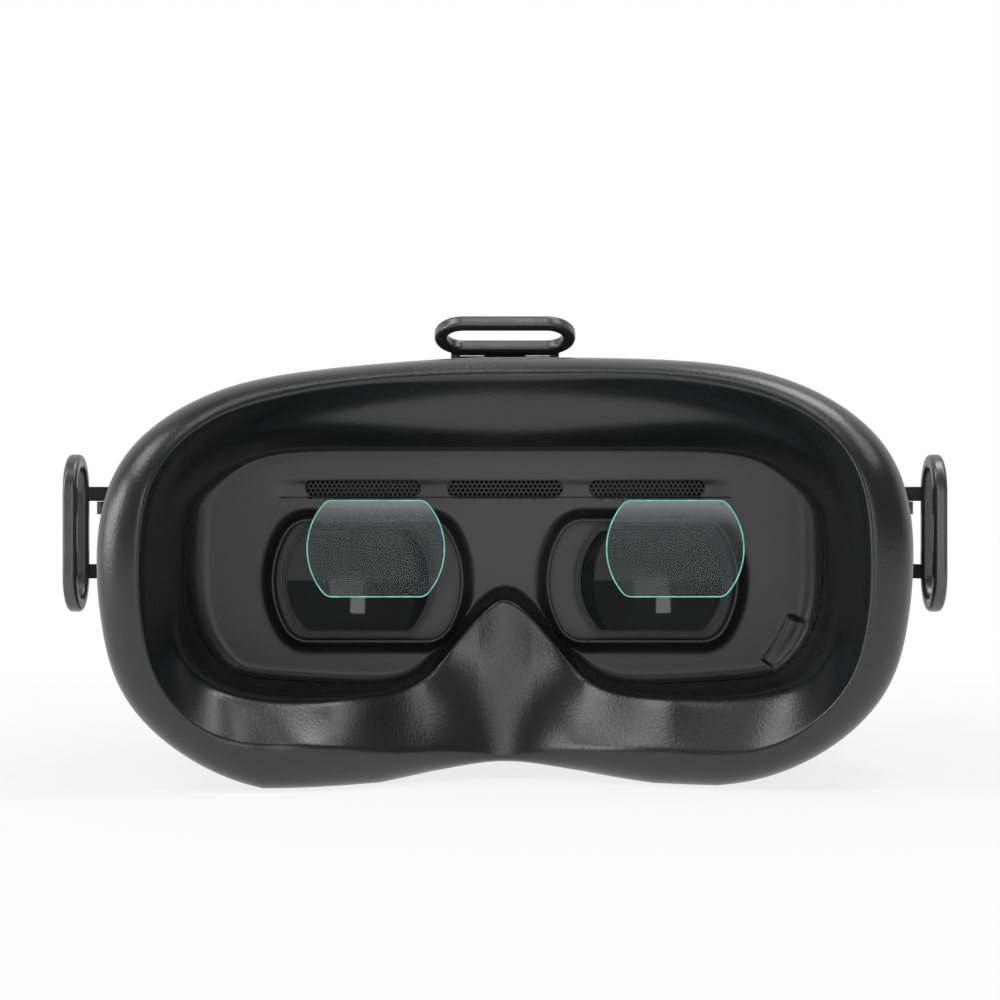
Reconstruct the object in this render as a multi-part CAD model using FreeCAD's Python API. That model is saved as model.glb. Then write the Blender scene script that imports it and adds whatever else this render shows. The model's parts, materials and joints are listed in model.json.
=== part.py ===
"""Head-mounted video goggles for piloting a model aircraft.

Frame: +Z up, +Y the way the wearer looks, +X the wearer's right. The origin is at the middle of the
footprint, on the surface that the goggles stand on. Millimetres.

The wearer's face goes into the face pad from -Y. Behind the pad come the rear shell with its two eye
openings, the eyepieces on their guide rods, the circuit board, the fan and the front cover.
"""

import FreeCAD
import Part

import math
import os

V = FreeCAD.Vector
X, Y, Z = V(1, 0, 0), V(0, 1, 0), V(0, 0, 1)

# ---------------------------------------------------------------- driving dimensions
# whole object
REAR_Y = -60.85           # rearmost point of the face pad, at the temples
FRONT_Y = 61.0            # front face of the cover

# face pad
PAD_WIDTH = 181.0
PAD_TOP = 98.0
PAD_BASE_Y = -20.0        # plane where pad and housing meet
PAD_ROLL = 6.5            # depth of the rounded outer edge
PAD_BEAD = 3.0            # depth of the rounded inner lip
LIP_SHARE = 0.45          # where the pad meets the basin, from the lip to the plate's edge

# housing
HOUSING_SIDE = 1.5        # how far the housing runs past the pad on each side
HOUSING_WIDTH = PAD_WIDTH + 2 * HOUSING_SIDE
HOUSING_TOP = 98.0
WALL = 2.2
FIT = 0.15                # clearance between parts that are fitted together
SHELL_FRONT_Y = 38.0      # joint between main shell and front cover
SHELL_SINK = 1.2          # how far the outline runs below the flat bottom before it is cut

NOSE_RISE = 3.9           # how far the bottom rises over the nose, at the rear edge
NOSE_HALF = 29.0          # half of the rise's width there
NOSE_RUN = 31.0           # how far it runs forward before it is level

# rear shell
FLANGE = 2.0
PLATE_Y = -14.0           # rear face of the plate that carries the eye openings
PLATE = 2.0

# eyepieces
EYE_Z = 45.8
EYE_X = 35.0              # half of the widest eye distance, 70 mm
IPD_TRAVEL = 6.0          # each eyepiece slides in by this much, down to 58 mm
OPENING_X = 32.7
OPENING = (44.4, 28.2)    # width and height of an eye opening
OPENING_CORNER = 6.0
COLLAR_RISE = 3.4
COLLAR_RIM = 1.5
COLLAR_FOOT = 3.6
WINDOW = (34.6, 24.4)     # clear lens
WINDOW_CORNER = 2.5
BARREL_WALL = 0.9
BARREL_REAR_Y = -16.0
BARREL_FRONT_Y = 16.0
LENS_Y = -14.9            # flat rear face of the lens
LENS_EDGE = 3.0
LENS_BULGE = 2.4
LENS_GAP = 0.05
BLIND_Y = -11.6           # rear face of the sliding blind that closes the opening round the barrel
BLIND = 0.8
BLIND_IN = 25.0
BLIND_OUT = 27.0
BLIND_HEIGHT = 36.0
DISPLAY = (44.0, 30.0, 1.4)
DISPLAY_CASE = 1.4
DISPLAY_CASE_DEPTH = 7.0

# eyepiece guides
ROD_R = 1.5
ROD_RUN = 0.05            # radial running clearance
ROD_SPREAD = 42.0         # between the two rods
ROD_Y = 8.0
ROD_LOW = EYE_Z - ROD_SPREAD / 2
ROD_HIGH = EYE_Z + ROD_SPREAD / 2
CARRIAGE = (30.0, 8.0, 52.0)
BRACKET_X = 65.6
BRACKET = 3.5

# lens films
FILM = (32.4, 22.8, 0.33)
FILM_CORNER = 2.8
FILM_SEAT_GAP = 0.1
FILM_LIFT = (4.8, -10.4, 7.8)   # from its seat on the lens to where it is shown

# air slots above the eyes
SLOT_PITCH = 34.0
SLOT = (27.6, 3.8)
SLOT_Z = 67.8
GROOVE = (112.0, 4.6, 0.9)
MESH = 0.5                # thickness
MESH_STRIP = (106.0, 6.0)
MESH_HOLES = 17           # in a row

# screws that hold the rear shell, under the pad
FLANGE_SCREWS = ((HOUSING_WIDTH / 4, HOUSING_TOP - 11.5), (HOUSING_WIDTH / 2 - 9.5, 50.0),
                 (HOUSING_WIDTH / 4, 9.0))
SCREW_R = 0.9
SCREW_HEAD_R = 1.8
SCREW_HEAD = 1.1
SCREW_LENGTH = 8.0
SCREW_BOSS_R = 3.2

# strap loops
LOOP_BAR = 3.2
SIDE_LOOP = (18.0, 37.0)        # along Y and Z
SIDE_LOOP_Z = 57.2
SIDE_LOOP_OUT = 5.5             # from the hinge pin to the middle of the bar
SIDE_LOOP_REAR_Y = -31.0
SIDE_PIN = (HOUSING_WIDTH / 2 + 3.4, -9.0)
SIDE_LOOP_X = SIDE_PIN[0] + SIDE_LOOP_OUT
SIDE_PIN_R = 0.9
EAR = 3.1
EAR_R = 3.0
EAR_SPREAD = 11.8               # between middles of the two ears
ARM = 3.4
TOP_LOOP = (33.8, 14.0)
TOP_LOOP_BAR = 3.0
TOP_LOOP_TILT = 27.0
TOP_PIN = (-4.0, HOUSING_TOP + 2.1)
TOP_PIN_R = 1.0
TOP_EAR_X = 12.0
TOP_EAR = 2.2
TOP_EAR_R = 1.7
KNUCKLE = 10.0
KNUCKLE_R = 1.9
TOP_BASE = (34.0, 15.0, 2.4)
TOP_BASE_SUNK = 1.4

# front
LOUVRE_WINDOW = (36.0, 46.0)
LOUVRE_X = HOUSING_WIDTH / 2 - 49.0
LOUVRE_Z = 48.0
SLATS = 8
SLAT = 1.5
VISOR = (2 * (LOUVRE_X - LOUVRE_WINDOW[0] / 2 - 4.0), 50.0, 1.2)   # between the louvres

# boards and cooling
BOARD_Y = 31.0
BOARD_INSET = 18.0        # from the housing's widest outline to the board's end
BOARD = (HOUSING_WIDTH - 2 * BOARD_INSET, 1.6, 46.0)
BOARD_Z = 46.0
STANDOFF_X = BOARD[0] / 2 - 3.4
STANDOFF_R = 2.0
STANDOFF_SPREAD = 30.0
FAN = (38.0, 7.0)
FAN_X = LOUVRE_X
FAN_Y = 41.0
BLADES = 9
SINK = (2 * (FAN_X - FAN[0] / 2 - 7.0), 7.0, 34.0)

# buttons
BUTTON_ROW_Y = 14.0
BUTTON_X = 38.0           # first button of each row
BUTTON_PITCH = 12.0
FIVE_WAY_PITCH = 13.0
BUTTON_R = 3.2
BUTTON_PROUD = 1.0
BUTTON_RUN = 0.2
BUTTON_BOARD = (16.0, 1.2)
BUTTON_BOARD_ENDS = (8.0, 7.0)
SWITCH = 2.4
TRAVEL_GAP = 0.7

# sockets
SOCKET_Z = 46.0
JACK_R = 1.8
JACK_DEPTH = 13.0
ANTENNA_R = 3.175         # quarter-inch thread
ANTENNA_LENGTH = 8.0
ANTENNA_NUT = 2.0

EPS = 0.01
SIDES = (("left", -1), ("right", 1))


# ---------------------------------------------------------------- outlines
# Points of the right half, from top middle round to bottom middle. x is a share of half the width,
# z a share of the height. The pad's three outlines have matching points, so that each row is a rib.
SILHOUETTE = [
    (0.000, 1.000), (0.329, 0.989), (0.578, 0.964), (0.747, 0.915), (0.874, 0.838), (0.960, 0.730),
    (0.998, 0.572), (0.987, 0.392), (0.944, 0.246), (0.840, 0.127), (0.683, 0.042), (0.513, 0.009),
    (0.354, 0.009), (0.192, 0.022), (0.077, 0.034), (0.000, 0.038),
]
CREST = [
    (0.000, 0.946), (0.325, 0.942), (0.558, 0.909), (0.703, 0.861), (0.799, 0.786), (0.855, 0.685),
    (0.875, 0.551), (0.872, 0.395), (0.835, 0.260), (0.742, 0.156), (0.613, 0.085), (0.478, 0.058),
    (0.337, 0.064), (0.190, 0.078), (0.077, 0.066), (0.000, 0.057),
]
CREST_DEPTH = [
    0.463, 0.524, 0.634, 0.756, 0.878, 0.976, 1.000, 0.976,
    0.915, 0.829, 0.756, 0.683, 0.561, 0.366, 0.220, 0.183,
]
LIP = [
    (0.000, 0.789), (0.337, 0.789), (0.583, 0.784), (0.713, 0.748), (0.795, 0.690), (0.829, 0.630),
    (0.838, 0.543), (0.838, 0.411), (0.810, 0.310), (0.752, 0.244), (0.670, 0.209), (0.531, 0.192),
    (0.324, 0.200), (0.194, 0.256), (0.077, 0.373), (0.000, 0.423),
]
PLATE_EDGE = [
    (0.000, 0.786), (0.337, 0.786), (0.583, 0.780), (0.707, 0.744), (0.791, 0.684), (0.822, 0.635),
    (0.831, 0.542), (0.827, 0.418), (0.790, 0.321), (0.735, 0.261), (0.670, 0.234), (0.528, 0.223),
    (0.327, 0.220), (0.206, 0.267), (0.082, 0.400), (0.000, 0.448),
]
HOUSING = [
    (0.000, 1.000), (0.329, 0.989), (0.570, 0.960), (0.742, 0.905), (0.868, 0.822), (0.958, 0.700),
    (1.000, 0.540), (0.985, 0.370), (0.930, 0.222), (0.830, 0.105), (0.700, 0.025), (0.560, 0.000),
    (0.400, 0.000), (0.250, 0.000), (0.120, 0.000), (0.000, 0.000),
]
# y, share of the width, top, bottom
HOUSING_LEVELS = [
    (PAD_BASE_Y, 0.982, HOUSING_TOP - 1.4, -SHELL_SINK),
    (-4.0, 1.0, HOUSING_TOP, -SHELL_SINK),
    (16.0, 0.975, HOUSING_TOP - 1.5, -SHELL_SINK),
    (SHELL_FRONT_Y, 0.925, HOUSING_TOP - 4.5, -SHELL_SINK),
]
COVER_LEVELS = [
    (SHELL_FRONT_Y, 0.925, HOUSING_TOP - 4.5, -SHELL_SINK),
    (48.0, 0.895, HOUSING_TOP - 6.5, -SHELL_SINK * 0.6),
    (55.5, 0.845, HOUSING_TOP - 9.5, 3.0),
    (59.6, 0.785, HOUSING_TOP - 14.0, 8.0),
    (FRONT_Y, 0.720, HOUSING_TOP - 19.0, 13.5),
]


def mirrored(half):
    """The whole ring of points from its right half."""
    return half + [(-x, z) for x, z in half[-2:0:-1]]


def sized(half, width, top, bottom=0.0):
    return [(x * width / 2, bottom + z * (top - bottom)) for x, z in half]


def inset(ring, distance):
    """The closed ring of points moved inwards. The points run clockwise as seen from -Y."""
    moved = []
    for i, (x, z) in enumerate(ring):
        ax, az = ring[i - 1]
        bx, bz = ring[(i + 1) % len(ring)]
        dx, dz = bx - ax, bz - az
        length = math.hypot(dx, dz)
        moved.append((x + dz / length * distance, z - dx / length * distance))
    return moved


def ring_wire(ring, y):
    curve = Part.BSplineCurve()
    curve.interpolate(Points=[V(x, y, z) for x, z in ring], PeriodicFlag=True)
    return Part.Wire([curve.toShape()])


def lofted(levels, distance=0.0):
    """Solid through the housing outline at each level, moved in by distance."""
    wires = []
    for y, share, top, bottom in levels:
        ring = mirrored(sized(HOUSING, HOUSING_WIDTH * share, top, bottom))
        wires.append(ring_wire(inset(ring, distance) if distance else ring, y))
    return Part.makeLoft(wires, True, False)


def nose_relief(grow=0.0):
    """Very wide cylinder that runs down to the standing surface: what is cut away over the nose."""
    radius = (NOSE_HALF ** 2 + NOSE_RISE ** 2) / (2 * NOSE_RISE)
    way = V(0, NOSE_RUN, -NOSE_RISE).normalize()
    top = V(0, PAD_BASE_Y, NOSE_RISE) - way * 20
    middle = top - V(0, -way.z, way.y) * radius
    return Part.makeCylinder(radius + grow, 90, middle, way)


def nose_rise(x):
    """Height of the bottom's rear edge at x."""
    radius = (NOSE_HALF ** 2 + NOSE_RISE ** 2) / (2 * NOSE_RISE)
    return max(0.0, NOSE_RISE - radius + math.sqrt(radius ** 2 - min(abs(x), NOSE_HALF) ** 2))


def slab(ring, y0, y1):
    """Straight solid on a ring of points, from y0 to y1."""
    return Part.Face(ring_wire(ring, y0)).extrude(V(0, y1 - y0, 0))


def block(x, y, z):
    """Box from three (low, high) pairs."""
    return Part.makeBox(x[1] - x[0], y[1] - y[0], z[1] - z[0], V(x[0], y[0], z[0]))


def centred(size, middle):
    return Part.makeBox(*size, V(*[m - s / 2 for s, m in zip(size, middle)]))


def rod(radius, start, end):
    span = V(*end) - V(*start)
    return Part.makeCylinder(radius, span.Length, V(*start), span)


def eye_outline(size, corner, x, z, y0, y1):
    """A circle cut off flat above and below, with rounded corners, as a straight solid along Y."""
    width, height = size
    disc = rod(width / 2, (x, y0, z), (x, y1, z))
    cut = disc.common(centred((width + 1, abs(y1 - y0), height), (x, (y0 + y1) / 2, z)))
    edges = [e for e in cut.Edges if e.Vertexes[0].Point.sub(e.Vertexes[-1].Point).cross(Y).Length < EPS
             and e.Length > EPS and abs(e.Vertexes[0].Point.z - z) > height / 2 - EPS]
    return cut.makeFillet(corner, edges)


def grown(size, by):
    return (size[0] + 2 * by, size[1] + 2 * by)


def pill(length, height, x, z, y0, y1):
    """Slot with round ends, along X."""
    r = height / 2
    body = centred((length - height, abs(y1 - y0), height), (x, (y0 + y1) / 2, z))
    for end in (-1, 1):
        cx = x + end * (length - height) / 2
        body = body.fuse(rod(r, (cx, min(y0, y1), z), (cx, max(y0, y1), z)))
    return body.removeSplitter()


def only(shape):
    """The one solid in a shape, or the largest of them."""
    return max(shape.Solids, key=lambda s: s.Volume)


parts = {}


# ---------------------------------------------------------------- face pad
def basin_ring(share):
    """Ring of points on the basin's wall, from its rear edge (0) to the plate (1)."""
    share = LIP_SHARE + (1 - LIP_SHARE) * share
    lip = sized(LIP, PAD_WIDTH, PAD_TOP)
    plate = sized(PLATE_EDGE, PAD_WIDTH, PAD_TOP)
    return mirrored([(a + (c - a) * share, b + (d - b) * share) for (a, b), (c, d) in zip(lip, plate)])


def pad_rings():
    """Closed rings of points over the pad's surface, from its outer base to its inner base."""
    level = HOUSING_LEVELS[0]
    base = sized(HOUSING, HOUSING_WIDTH * level[1] - 2 * FIT, level[2] - FIT, 2 * FIT)
    base = [(x, max(z, nose_rise(x) + 2 * FIT)) for x, z in base]
    outer = sized(SILHOUETTE, PAD_WIDTH, PAD_TOP)
    crest = sized(CREST, PAD_WIDTH, PAD_TOP)
    lip = sized(LIP, PAD_WIDTH, PAD_TOP)
    deepest = PAD_BASE_Y - REAR_Y
    depths = [share * deepest for share in CREST_DEPTH]
    rolls = [min(PAD_ROLL, 0.42 * depth) for depth in depths]

    # share between two outlines, and share of the depth, as (from, to, share, depth, roll, bead)
    steps = [
        (base, outer, 0.0, 0.0, 0.0, 0.0),
        (base, outer, 0.35, 0.30, 0.0, 0.0),
        (base, outer, 0.75, 0.65, -0.5, 0.0),
        (base, outer, 1.0, 1.0, -1.0, 0.0),
        (outer, crest, 0.18, 1.0, -0.42, 0.0),
        (outer, crest, 0.58, 1.0, 0.0, 0.0),
        (crest, lip, 0.0, 1.0, -0.20, 0.0),
        (crest, lip, 0.22, 0.78, 0.0, 0.22),
        (crest, lip, 0.52, 0.48, 0.0, 0.52),
        (crest, lip, 0.82, 0.18, 0.0, 0.82),
        (crest, lip, 1.0, 0.0, 0.0, 1.0),
    ]
    rings = []
    for near, far, share, deep, roll, bead in steps:
        half = []
        for (ax, az), (bx, bz), depth, round_by in zip(near, far, depths, rolls):
            y = PAD_BASE_Y - deep * depth - roll * round_by - bead * PAD_BEAD
            half.append(V(ax + (bx - ax) * share, y, az + (bz - az) * share))
        rings.append(half + [V(-p.x, p.y, p.z) for p in half[-2:0:-1]])
    rings.append([V(x, PAD_BASE_Y, z) for x, z in basin_ring(0.0)])
    return rings


def eased(rings):
    """Value of a cubic spline with these control points, at each of them."""
    along = []
    for ring in rings:
        after = ring[1:] + ring[:1]
        along.append([(a + b * 4 + c) * (1 / 6) for a, b, c in zip([ring[-1]] + ring, ring, after)])
    eased_rings = [along[0]]
    for j in range(1, len(rings) - 1):
        rows = zip(along[j - 1], along[j], along[j + 1])
        eased_rings.append([(a + b * 4 + c) * (1 / 6) for a, b, c in rows])
    return eased_rings + [along[-1]]


def face_pad():
    """Moulded foam ring: one cubic surface near the rings' points, closed by a flat base."""
    rings = pad_rings()
    poles = [list(ring) for ring in rings]
    for _ in range(2):
        reached = eased(poles)
        poles = [[p + (q - r) for p, q, r in zip(*rows)] for rows in zip(poles, rings, reached)]
    around, across = len(rings[0]), len(rings)
    surface = Part.BSplineSurface()
    surface.buildFromPolesMultsKnots(
        [[poles[j][i] for j in range(across)] for i in range(around)],
        [1] * (around + 1), [4] + [1] * (across - 4) + [4],
        [float(k) for k in range(around + 1)], [float(k) for k in range(across - 2)],
        True, False, 3, 3)
    skin = surface.toShape()
    rims = [e for e in skin.Edges if e.BoundBox.YLength < EPS]
    rims.sort(key=lambda e: -e.Length)
    base = Part.Face([Part.Wire([rims[0]]), Part.Wire([rims[1]])])
    shell = Part.makeShell([skin, base])
    shell.sewShape()
    solid = Part.makeSolid(shell)
    if solid.Volume < 0:
        solid.reverse()
    return solid


parts["face_pad"] = face_pad()

# ---------------------------------------------------------------- rear shell
def rear_shell():
    """Flange that carries the pad, with a basin down to the plate and two collared eye openings."""
    level = HOUSING_LEVELS[0]
    rim = mirrored(sized(HOUSING, HOUSING_WIDTH * level[1], level[2], level[3]))
    flange = slab(inset(rim, WALL + FIT), PAD_BASE_Y, PAD_BASE_Y + FLANGE)

    def basin(grow, y0, y1):
        return Part.makeLoft([ring_wire(inset(basin_ring(0.0), -grow), y0),
                              ring_wire(inset(basin_ring(1.0), -grow), y1)], True, False)

    body = flange.fuse(basin(PLATE, PAD_BASE_Y, PLATE_Y + PLATE))
    body = body.cut(basin(0.0, PAD_BASE_Y - EPS, PLATE_Y))
    body = body.common(block((-HOUSING_WIDTH, HOUSING_WIDTH), (-60, 60), (WALL + FIT, 200)))
    body = body.cut(nose_relief(WALL + FIT))
    added, removed = [], []
    for _, side in SIDES:
        x = side * OPENING_X
        foot = eye_outline(grown(OPENING, COLLAR_FOOT), OPENING_CORNER + 3, x, EYE_Z, PLATE_Y - COLLAR_RISE,
                           PLATE_Y + EPS)
        rim_edges = [e for e in foot.Edges if e.BoundBox.YMax < PLATE_Y - COLLAR_RISE + EPS]
        added.append(foot.makeFillet(COLLAR_FOOT - COLLAR_RIM, rim_edges))
        removed.append(eye_outline(OPENING, OPENING_CORNER, x, EYE_Z, PLATE_Y - 2 * COLLAR_RISE,
                                   PLATE_Y + 2 * PLATE))
    # curved step at the lower right corner of the basin
    middle = (OPENING_X + 5, EYE_Z + 3)
    step = rod(29.5, (middle[0], PLATE_Y - 1.6, middle[1]), (middle[0], PLATE_Y + EPS, middle[1]))
    step = step.cut(rod(27.0, (middle[0], PLATE_Y - 5, middle[1]), (middle[0], PLATE_Y + 5, middle[1])))
    added.append(step.common(block((59, 72), (-60, 0), (23, 38.5))))
    body = body.fuse(added + rod_brackets() + board_posts())
    length, height, depth = GROOVE
    removed.append(pill(length, height, 0, SLOT_Z, PLATE_Y - EPS, PLATE_Y + depth))
    for i in (-1, 0, 1):
        removed.append(pill(SLOT[0], SLOT[1], i * SLOT_PITCH, SLOT_Z, PLATE_Y - EPS,
                            PLATE_Y + PLATE - MESH))
    mesh_length, mesh_height = MESH_STRIP
    removed.append(centred((mesh_length + 2 * FIT, MESH, mesh_height + 2 * FIT),
                           (0, PLATE_Y + PLATE - MESH / 2, SLOT_Z)))
    for x, z in FLANGE_SCREWS:
        for s in (-1, 1):
            removed.append(rod(SCREW_R + FIT, (s * x, PAD_BASE_Y - 1, z), (s * x, PAD_BASE_Y + 5, z)))
            removed.append(rod(SCREW_HEAD_R + FIT, (s * x, PAD_BASE_Y - 1, z),
                               (s * x, PAD_BASE_Y + SCREW_HEAD + FIT, z)))
    return only(body.cut(removed))


def rod_brackets():
    """Three uprights on the plate that hold the guide rods."""
    made = []
    for x in (-BRACKET_X, 0.0, BRACKET_X):
        body = block((x - BRACKET / 2, x + BRACKET / 2), (PLATE_Y + PLATE, ROD_Y + 4.0),
                     (ROD_LOW - 4.0, ROD_HIGH + 4.0))
        body = body.cut(block((x - 5, x + 5), (PLATE_Y + PLATE, ROD_Y - 4.0),
                              (ROD_LOW + 4.0, ROD_HIGH - 4.0)))
        for z in (ROD_LOW, ROD_HIGH):
            body = body.cut(rod(ROD_R, (x - 10, ROD_Y, z), (x + 10, ROD_Y, z)))
        made.append(body)
    return made


def board_posts():
    """Four posts on the plate that carry the main board."""
    made = []
    for x in (-STANDOFF_X, STANDOFF_X):
        for s in (-1, 1):
            z = BOARD_Z + s * STANDOFF_SPREAD / 2
            post = rod(STANDOFF_R, (x, PLATE_Y, z), (x, BOARD_Y, z))
            made.append(post.cut(rod(0.8, (x, BOARD_Y - 6, z), (x, BOARD_Y + 1, z))))
    return made


parts["rear_shell"] = rear_shell()


def vent_mesh():
    """Perforated strip let into the front of the plate, behind the three air slots."""
    length, height = MESH_STRIP
    strip = centred((length, MESH, height), (0, PLATE_Y + PLATE - MESH / 2, SLOT_Z))
    holes = []
    for index in (-1, 0, 1):
        for row in (-1, 1):
            for i in range(MESH_HOLES):
                x = index * SLOT_PITCH + (i - (MESH_HOLES - 1) / 2) * (SLOT[0] - 2.5) / (MESH_HOLES - 1)
                z = SLOT_Z + row * 0.8
                holes.append(rod(0.5, (x, PLATE_Y, z), (x, PLATE_Y + 2 * PLATE, z)))
    return strip.cut(holes)


parts["vent_mesh"] = vent_mesh()


# ---------------------------------------------------------------- main shell
outer = lofted(HOUSING_LEVELS)
cavity_levels = list(HOUSING_LEVELS)
cavity = lofted(cavity_levels, WALL)
above_floor = block((-200, 200), (-200, 200), (0, 300))
above_inner_floor = block((-200, 200), (-200, 200), (WALL, 300))


def wall_top(x, y):
    """Height of the shell's outer surface over x, y."""
    line = Part.makeLine(V(x, y, 60), V(x, y, 150))
    return max(v.Point.z for v in outer.common(line).Vertexes)


def wall_side(y, z, side):
    """x of the shell's outer surface at y, z."""
    line = Part.makeLine(V(side * 60, y, z), V(side * 150, y, z))
    return side * max(abs(v.Point.x) for v in outer.common(line).Vertexes)


FIVE_WAY_X = BUTTON_X + BUTTON_PITCH + FIVE_WAY_PITCH
RIGHT_BUTTONS = (("shutter_button", BUTTON_X), ("back_button", BUTTON_X + BUTTON_PITCH),
                 ("five_way_cap", FIVE_WAY_X))
LEFT_BUTTONS = (("channel_up_button", -BUTTON_X), ("channel_down_button", -BUTTON_X - BUTTON_PITCH))
FIVE_WAY_R = 5.2
YOKE_REACH = 5.2
UPRIGHT = 1.4
TRUNNION_R = 0.6
# the pivot of the five-way stick, low enough for its outer upright to stay under the wall
FIVE_PIVOT = wall_top(FIVE_WAY_X + YOKE_REACH + UPRIGHT / 2, BUTTON_ROW_Y) - 1.5 * WALL - UPRIGHT
board_z = FIVE_PIVOT - 3.0
LINK_BUTTON = (4.0, 62.0)
SIDE_SOCKETS_RIGHT = (("audio_socket", 8.0), ("video_in_socket", 18.0))
JACK_WALL = 1.6
LINK_R = 2.0
POWER_Y = 28.5
POWER_R = 4.0
USB = (9.2, 3.4)
USB_Y = 10.0
CARD = (12.0, 2.4)
CARD_Y = 26.0
ANTENNA_Y = 27.0
ANTENNAS = {
    "upper": (76.0, 77.0, 0.80, 0.60),
    "lower": (78.0, 17.0, 0.80, -0.60),
}
KNOB = (15.0, 7.0, 3.4)
KNOB_Z = 0.9


def hollow(outside, inside):
    """Shell with a flat bottom: the outline cut at the standing surface, less its inside."""
    inside = inside.common(above_inner_floor).cut(nose_relief(WALL))
    return outside.common(above_floor).cut(nose_relief()).cut(inside)


def screw_boss(x, z, side):
    """Boss for one flange screw, with a web to the wall."""
    boss = rod(SCREW_BOSS_R, (side * x, PAD_BASE_Y + FLANGE, z), (side * x, -7.0, z))
    reach = 18.0
    if 30 < z < 70:
        web = centred((reach, 10.0, 2.4), (side * (x + reach / 2), PAD_BASE_Y + FLANGE + 5.0, z))
    else:
        up = 1 if z > 50 else -1
        web = centred((2.4, 10.0, reach), (side * x, PAD_BASE_Y + FLANGE + 5.0, z + up * reach / 2))
    return boss.fuse(web).common(outer).common(above_floor).cut(nose_relief())


def main_shell():
    added, removed = [], []
    for _, side in SIDES:
        for x, z in FLANGE_SCREWS:
            added.append(screw_boss(x, z, side))
            removed.append(rod(SCREW_R, (side * x, -30, z), (side * x, -10.0, z)))
        # posts that hang from the top wall and carry the button boards
        for x in (BUTTON_X + BUTTON_PITCH / 2, BUTTON_X + BUTTON_PITCH + FIVE_WAY_PITCH / 2):
            post = rod(1.6, (side * x, BUTTON_ROW_Y + 6.0, board_z), (side * x, BUTTON_ROW_Y + 6.0, 120))
            added.append(post.common(outer))
        # slots for the two eye-distance knobs
        lo, hi = sorted((side * (EYE_X + KNOB[0] / 2 + 1.0),
                         side * (EYE_X - IPD_TRAVEL - KNOB[0] / 2 - 1.0)))
        removed.append(block((lo, hi), (ROD_Y - KNOB[1] / 2 - 0.6, ROD_Y + KNOB[1] / 2 + 0.6),
                             (-5, WALL + 3)))
        # seats of the loop brackets
        removed.append(side_bracket_core(side, FIT))
        for place in ANTENNAS.values():
            removed.append(antenna_line(place, side, ANTENNA_R + FIT, -30, 30))
    removed.append(top_bracket_base(FIT))
    for name, x in RIGHT_BUTTONS + LEFT_BUTTONS:
        r = FIVE_WAY_R if name == "five_way_cap" else BUTTON_R
        top = wall_top(x, BUTTON_ROW_Y)
        removed.append(rod(r + BUTTON_RUN, (x, BUTTON_ROW_Y, top - 4 * WALL),
                           (x, BUTTON_ROW_Y, top + 4 * WALL)))
    y, z = LINK_BUTTON
    side = wall_side(y, z, -1)
    removed.append(rod(LINK_R + BUTTON_RUN, (side + 4 * WALL, y, z), (side - 4 * WALL, y, z)))
    # air slots in the top and the bottom
    for i in range(-4, 5):
        removed.append(pill_top(i * 5.0, 22.0))
        removed.append(block((i * 5.0 - 1.0, i * 5.0 + 1.0), (20.0, 32.0), (-5, 5)))
    # side sockets
    for name, y in SIDE_SOCKETS_RIGHT:
        removed.append(rod(JACK_R + JACK_WALL + FIT, (70, y, SOCKET_Z), (120, y, SOCKET_Z)))
    removed.append(rod(POWER_R + FIT, (70, POWER_Y, SOCKET_Z), (120, POWER_Y, SOCKET_Z)))
    removed.append(centred((30, USB[0] + 2 * FIT, USB[1] + 2 * FIT), (-90, USB_Y, SOCKET_Z)))
    removed.append(centred((30, CARD[0] + 2 * FIT, CARD[1] + 2 * FIT), (-90, CARD_Y, SOCKET_Z)))
    return only(hollow(outer, cavity).fuse(added).cut(removed))


def pill_top(x, y):
    slot = centred((2.0, 12.0, 20), (x, y, HOUSING_TOP))
    for end in (-6.0, 6.0):
        slot = slot.fuse(rod(1.0, (x, y + end, HOUSING_TOP - 10), (x, y + end, HOUSING_TOP + 10)))
    return slot


def antenna_line(place, side, radius, start, end):
    """Cylinder on an antenna socket's axis, from start to end past the shell's surface."""
    x, z, dx, dz = place
    tip = antenna_tip(place, side)
    way = V(side * dx, 0, dz)
    return Part.makeCylinder(radius, end - start, tip + way * start, way)


def antenna_tip(place, side):
    """Point where an antenna socket's axis leaves the shell."""
    x, z, dx, dz = place
    start = V(side * (x - 30 * dx), ANTENNA_Y, z - 30 * dz)
    line = Part.makeLine(start, start + V(side * dx, 0, dz) * 90)
    ends = outer.common(line).Vertexes
    return max((v.Point for v in ends), key=lambda p: abs(p.x) + abs(p.z - 48) * 0.5)


def side_bracket_core(side, grow):
    """Block of a side loop's bracket that sits in the shell's wall."""
    half = EAR_SPREAD / 2 + EAR / 2
    lo, hi = sorted((side * (SIDE_PIN[0] - 8.0), side * (SIDE_PIN[0] - 1.4)))
    return block((lo, hi), (SIDE_PIN[1] - EAR_R - grow, SIDE_PIN[1] + EAR_R + grow),
                 (SIDE_LOOP_Z - half - grow, SIDE_LOOP_Z + half + grow))


# ---------------------------------------------------------------- strap loops
def loop_ring(size, bar, thickness):
    """Flat rounded ring in the XY plane, round its own middle, with rounded edges."""
    length, width = size

    def plate(grow, height):
        r = width / 2 + grow
        half = max(length / 2 - width / 2, EPS)
        body = centred((2 * half, 2 * r, height), (0, 0, 0))
        for s in (-1, 1):
            body = body.fuse(rod(r, (s * half, 0, -height / 2), (s * half, 0, height / 2)))
        return body.removeSplitter()

    ring = plate(0, thickness).cut(plate(-bar, thickness * 2))
    edges = [e for e in ring.Edges if e.BoundBox.ZLength < EPS]
    return ring.makeFillet(min(bar, thickness) * 0.30, edges)


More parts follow.
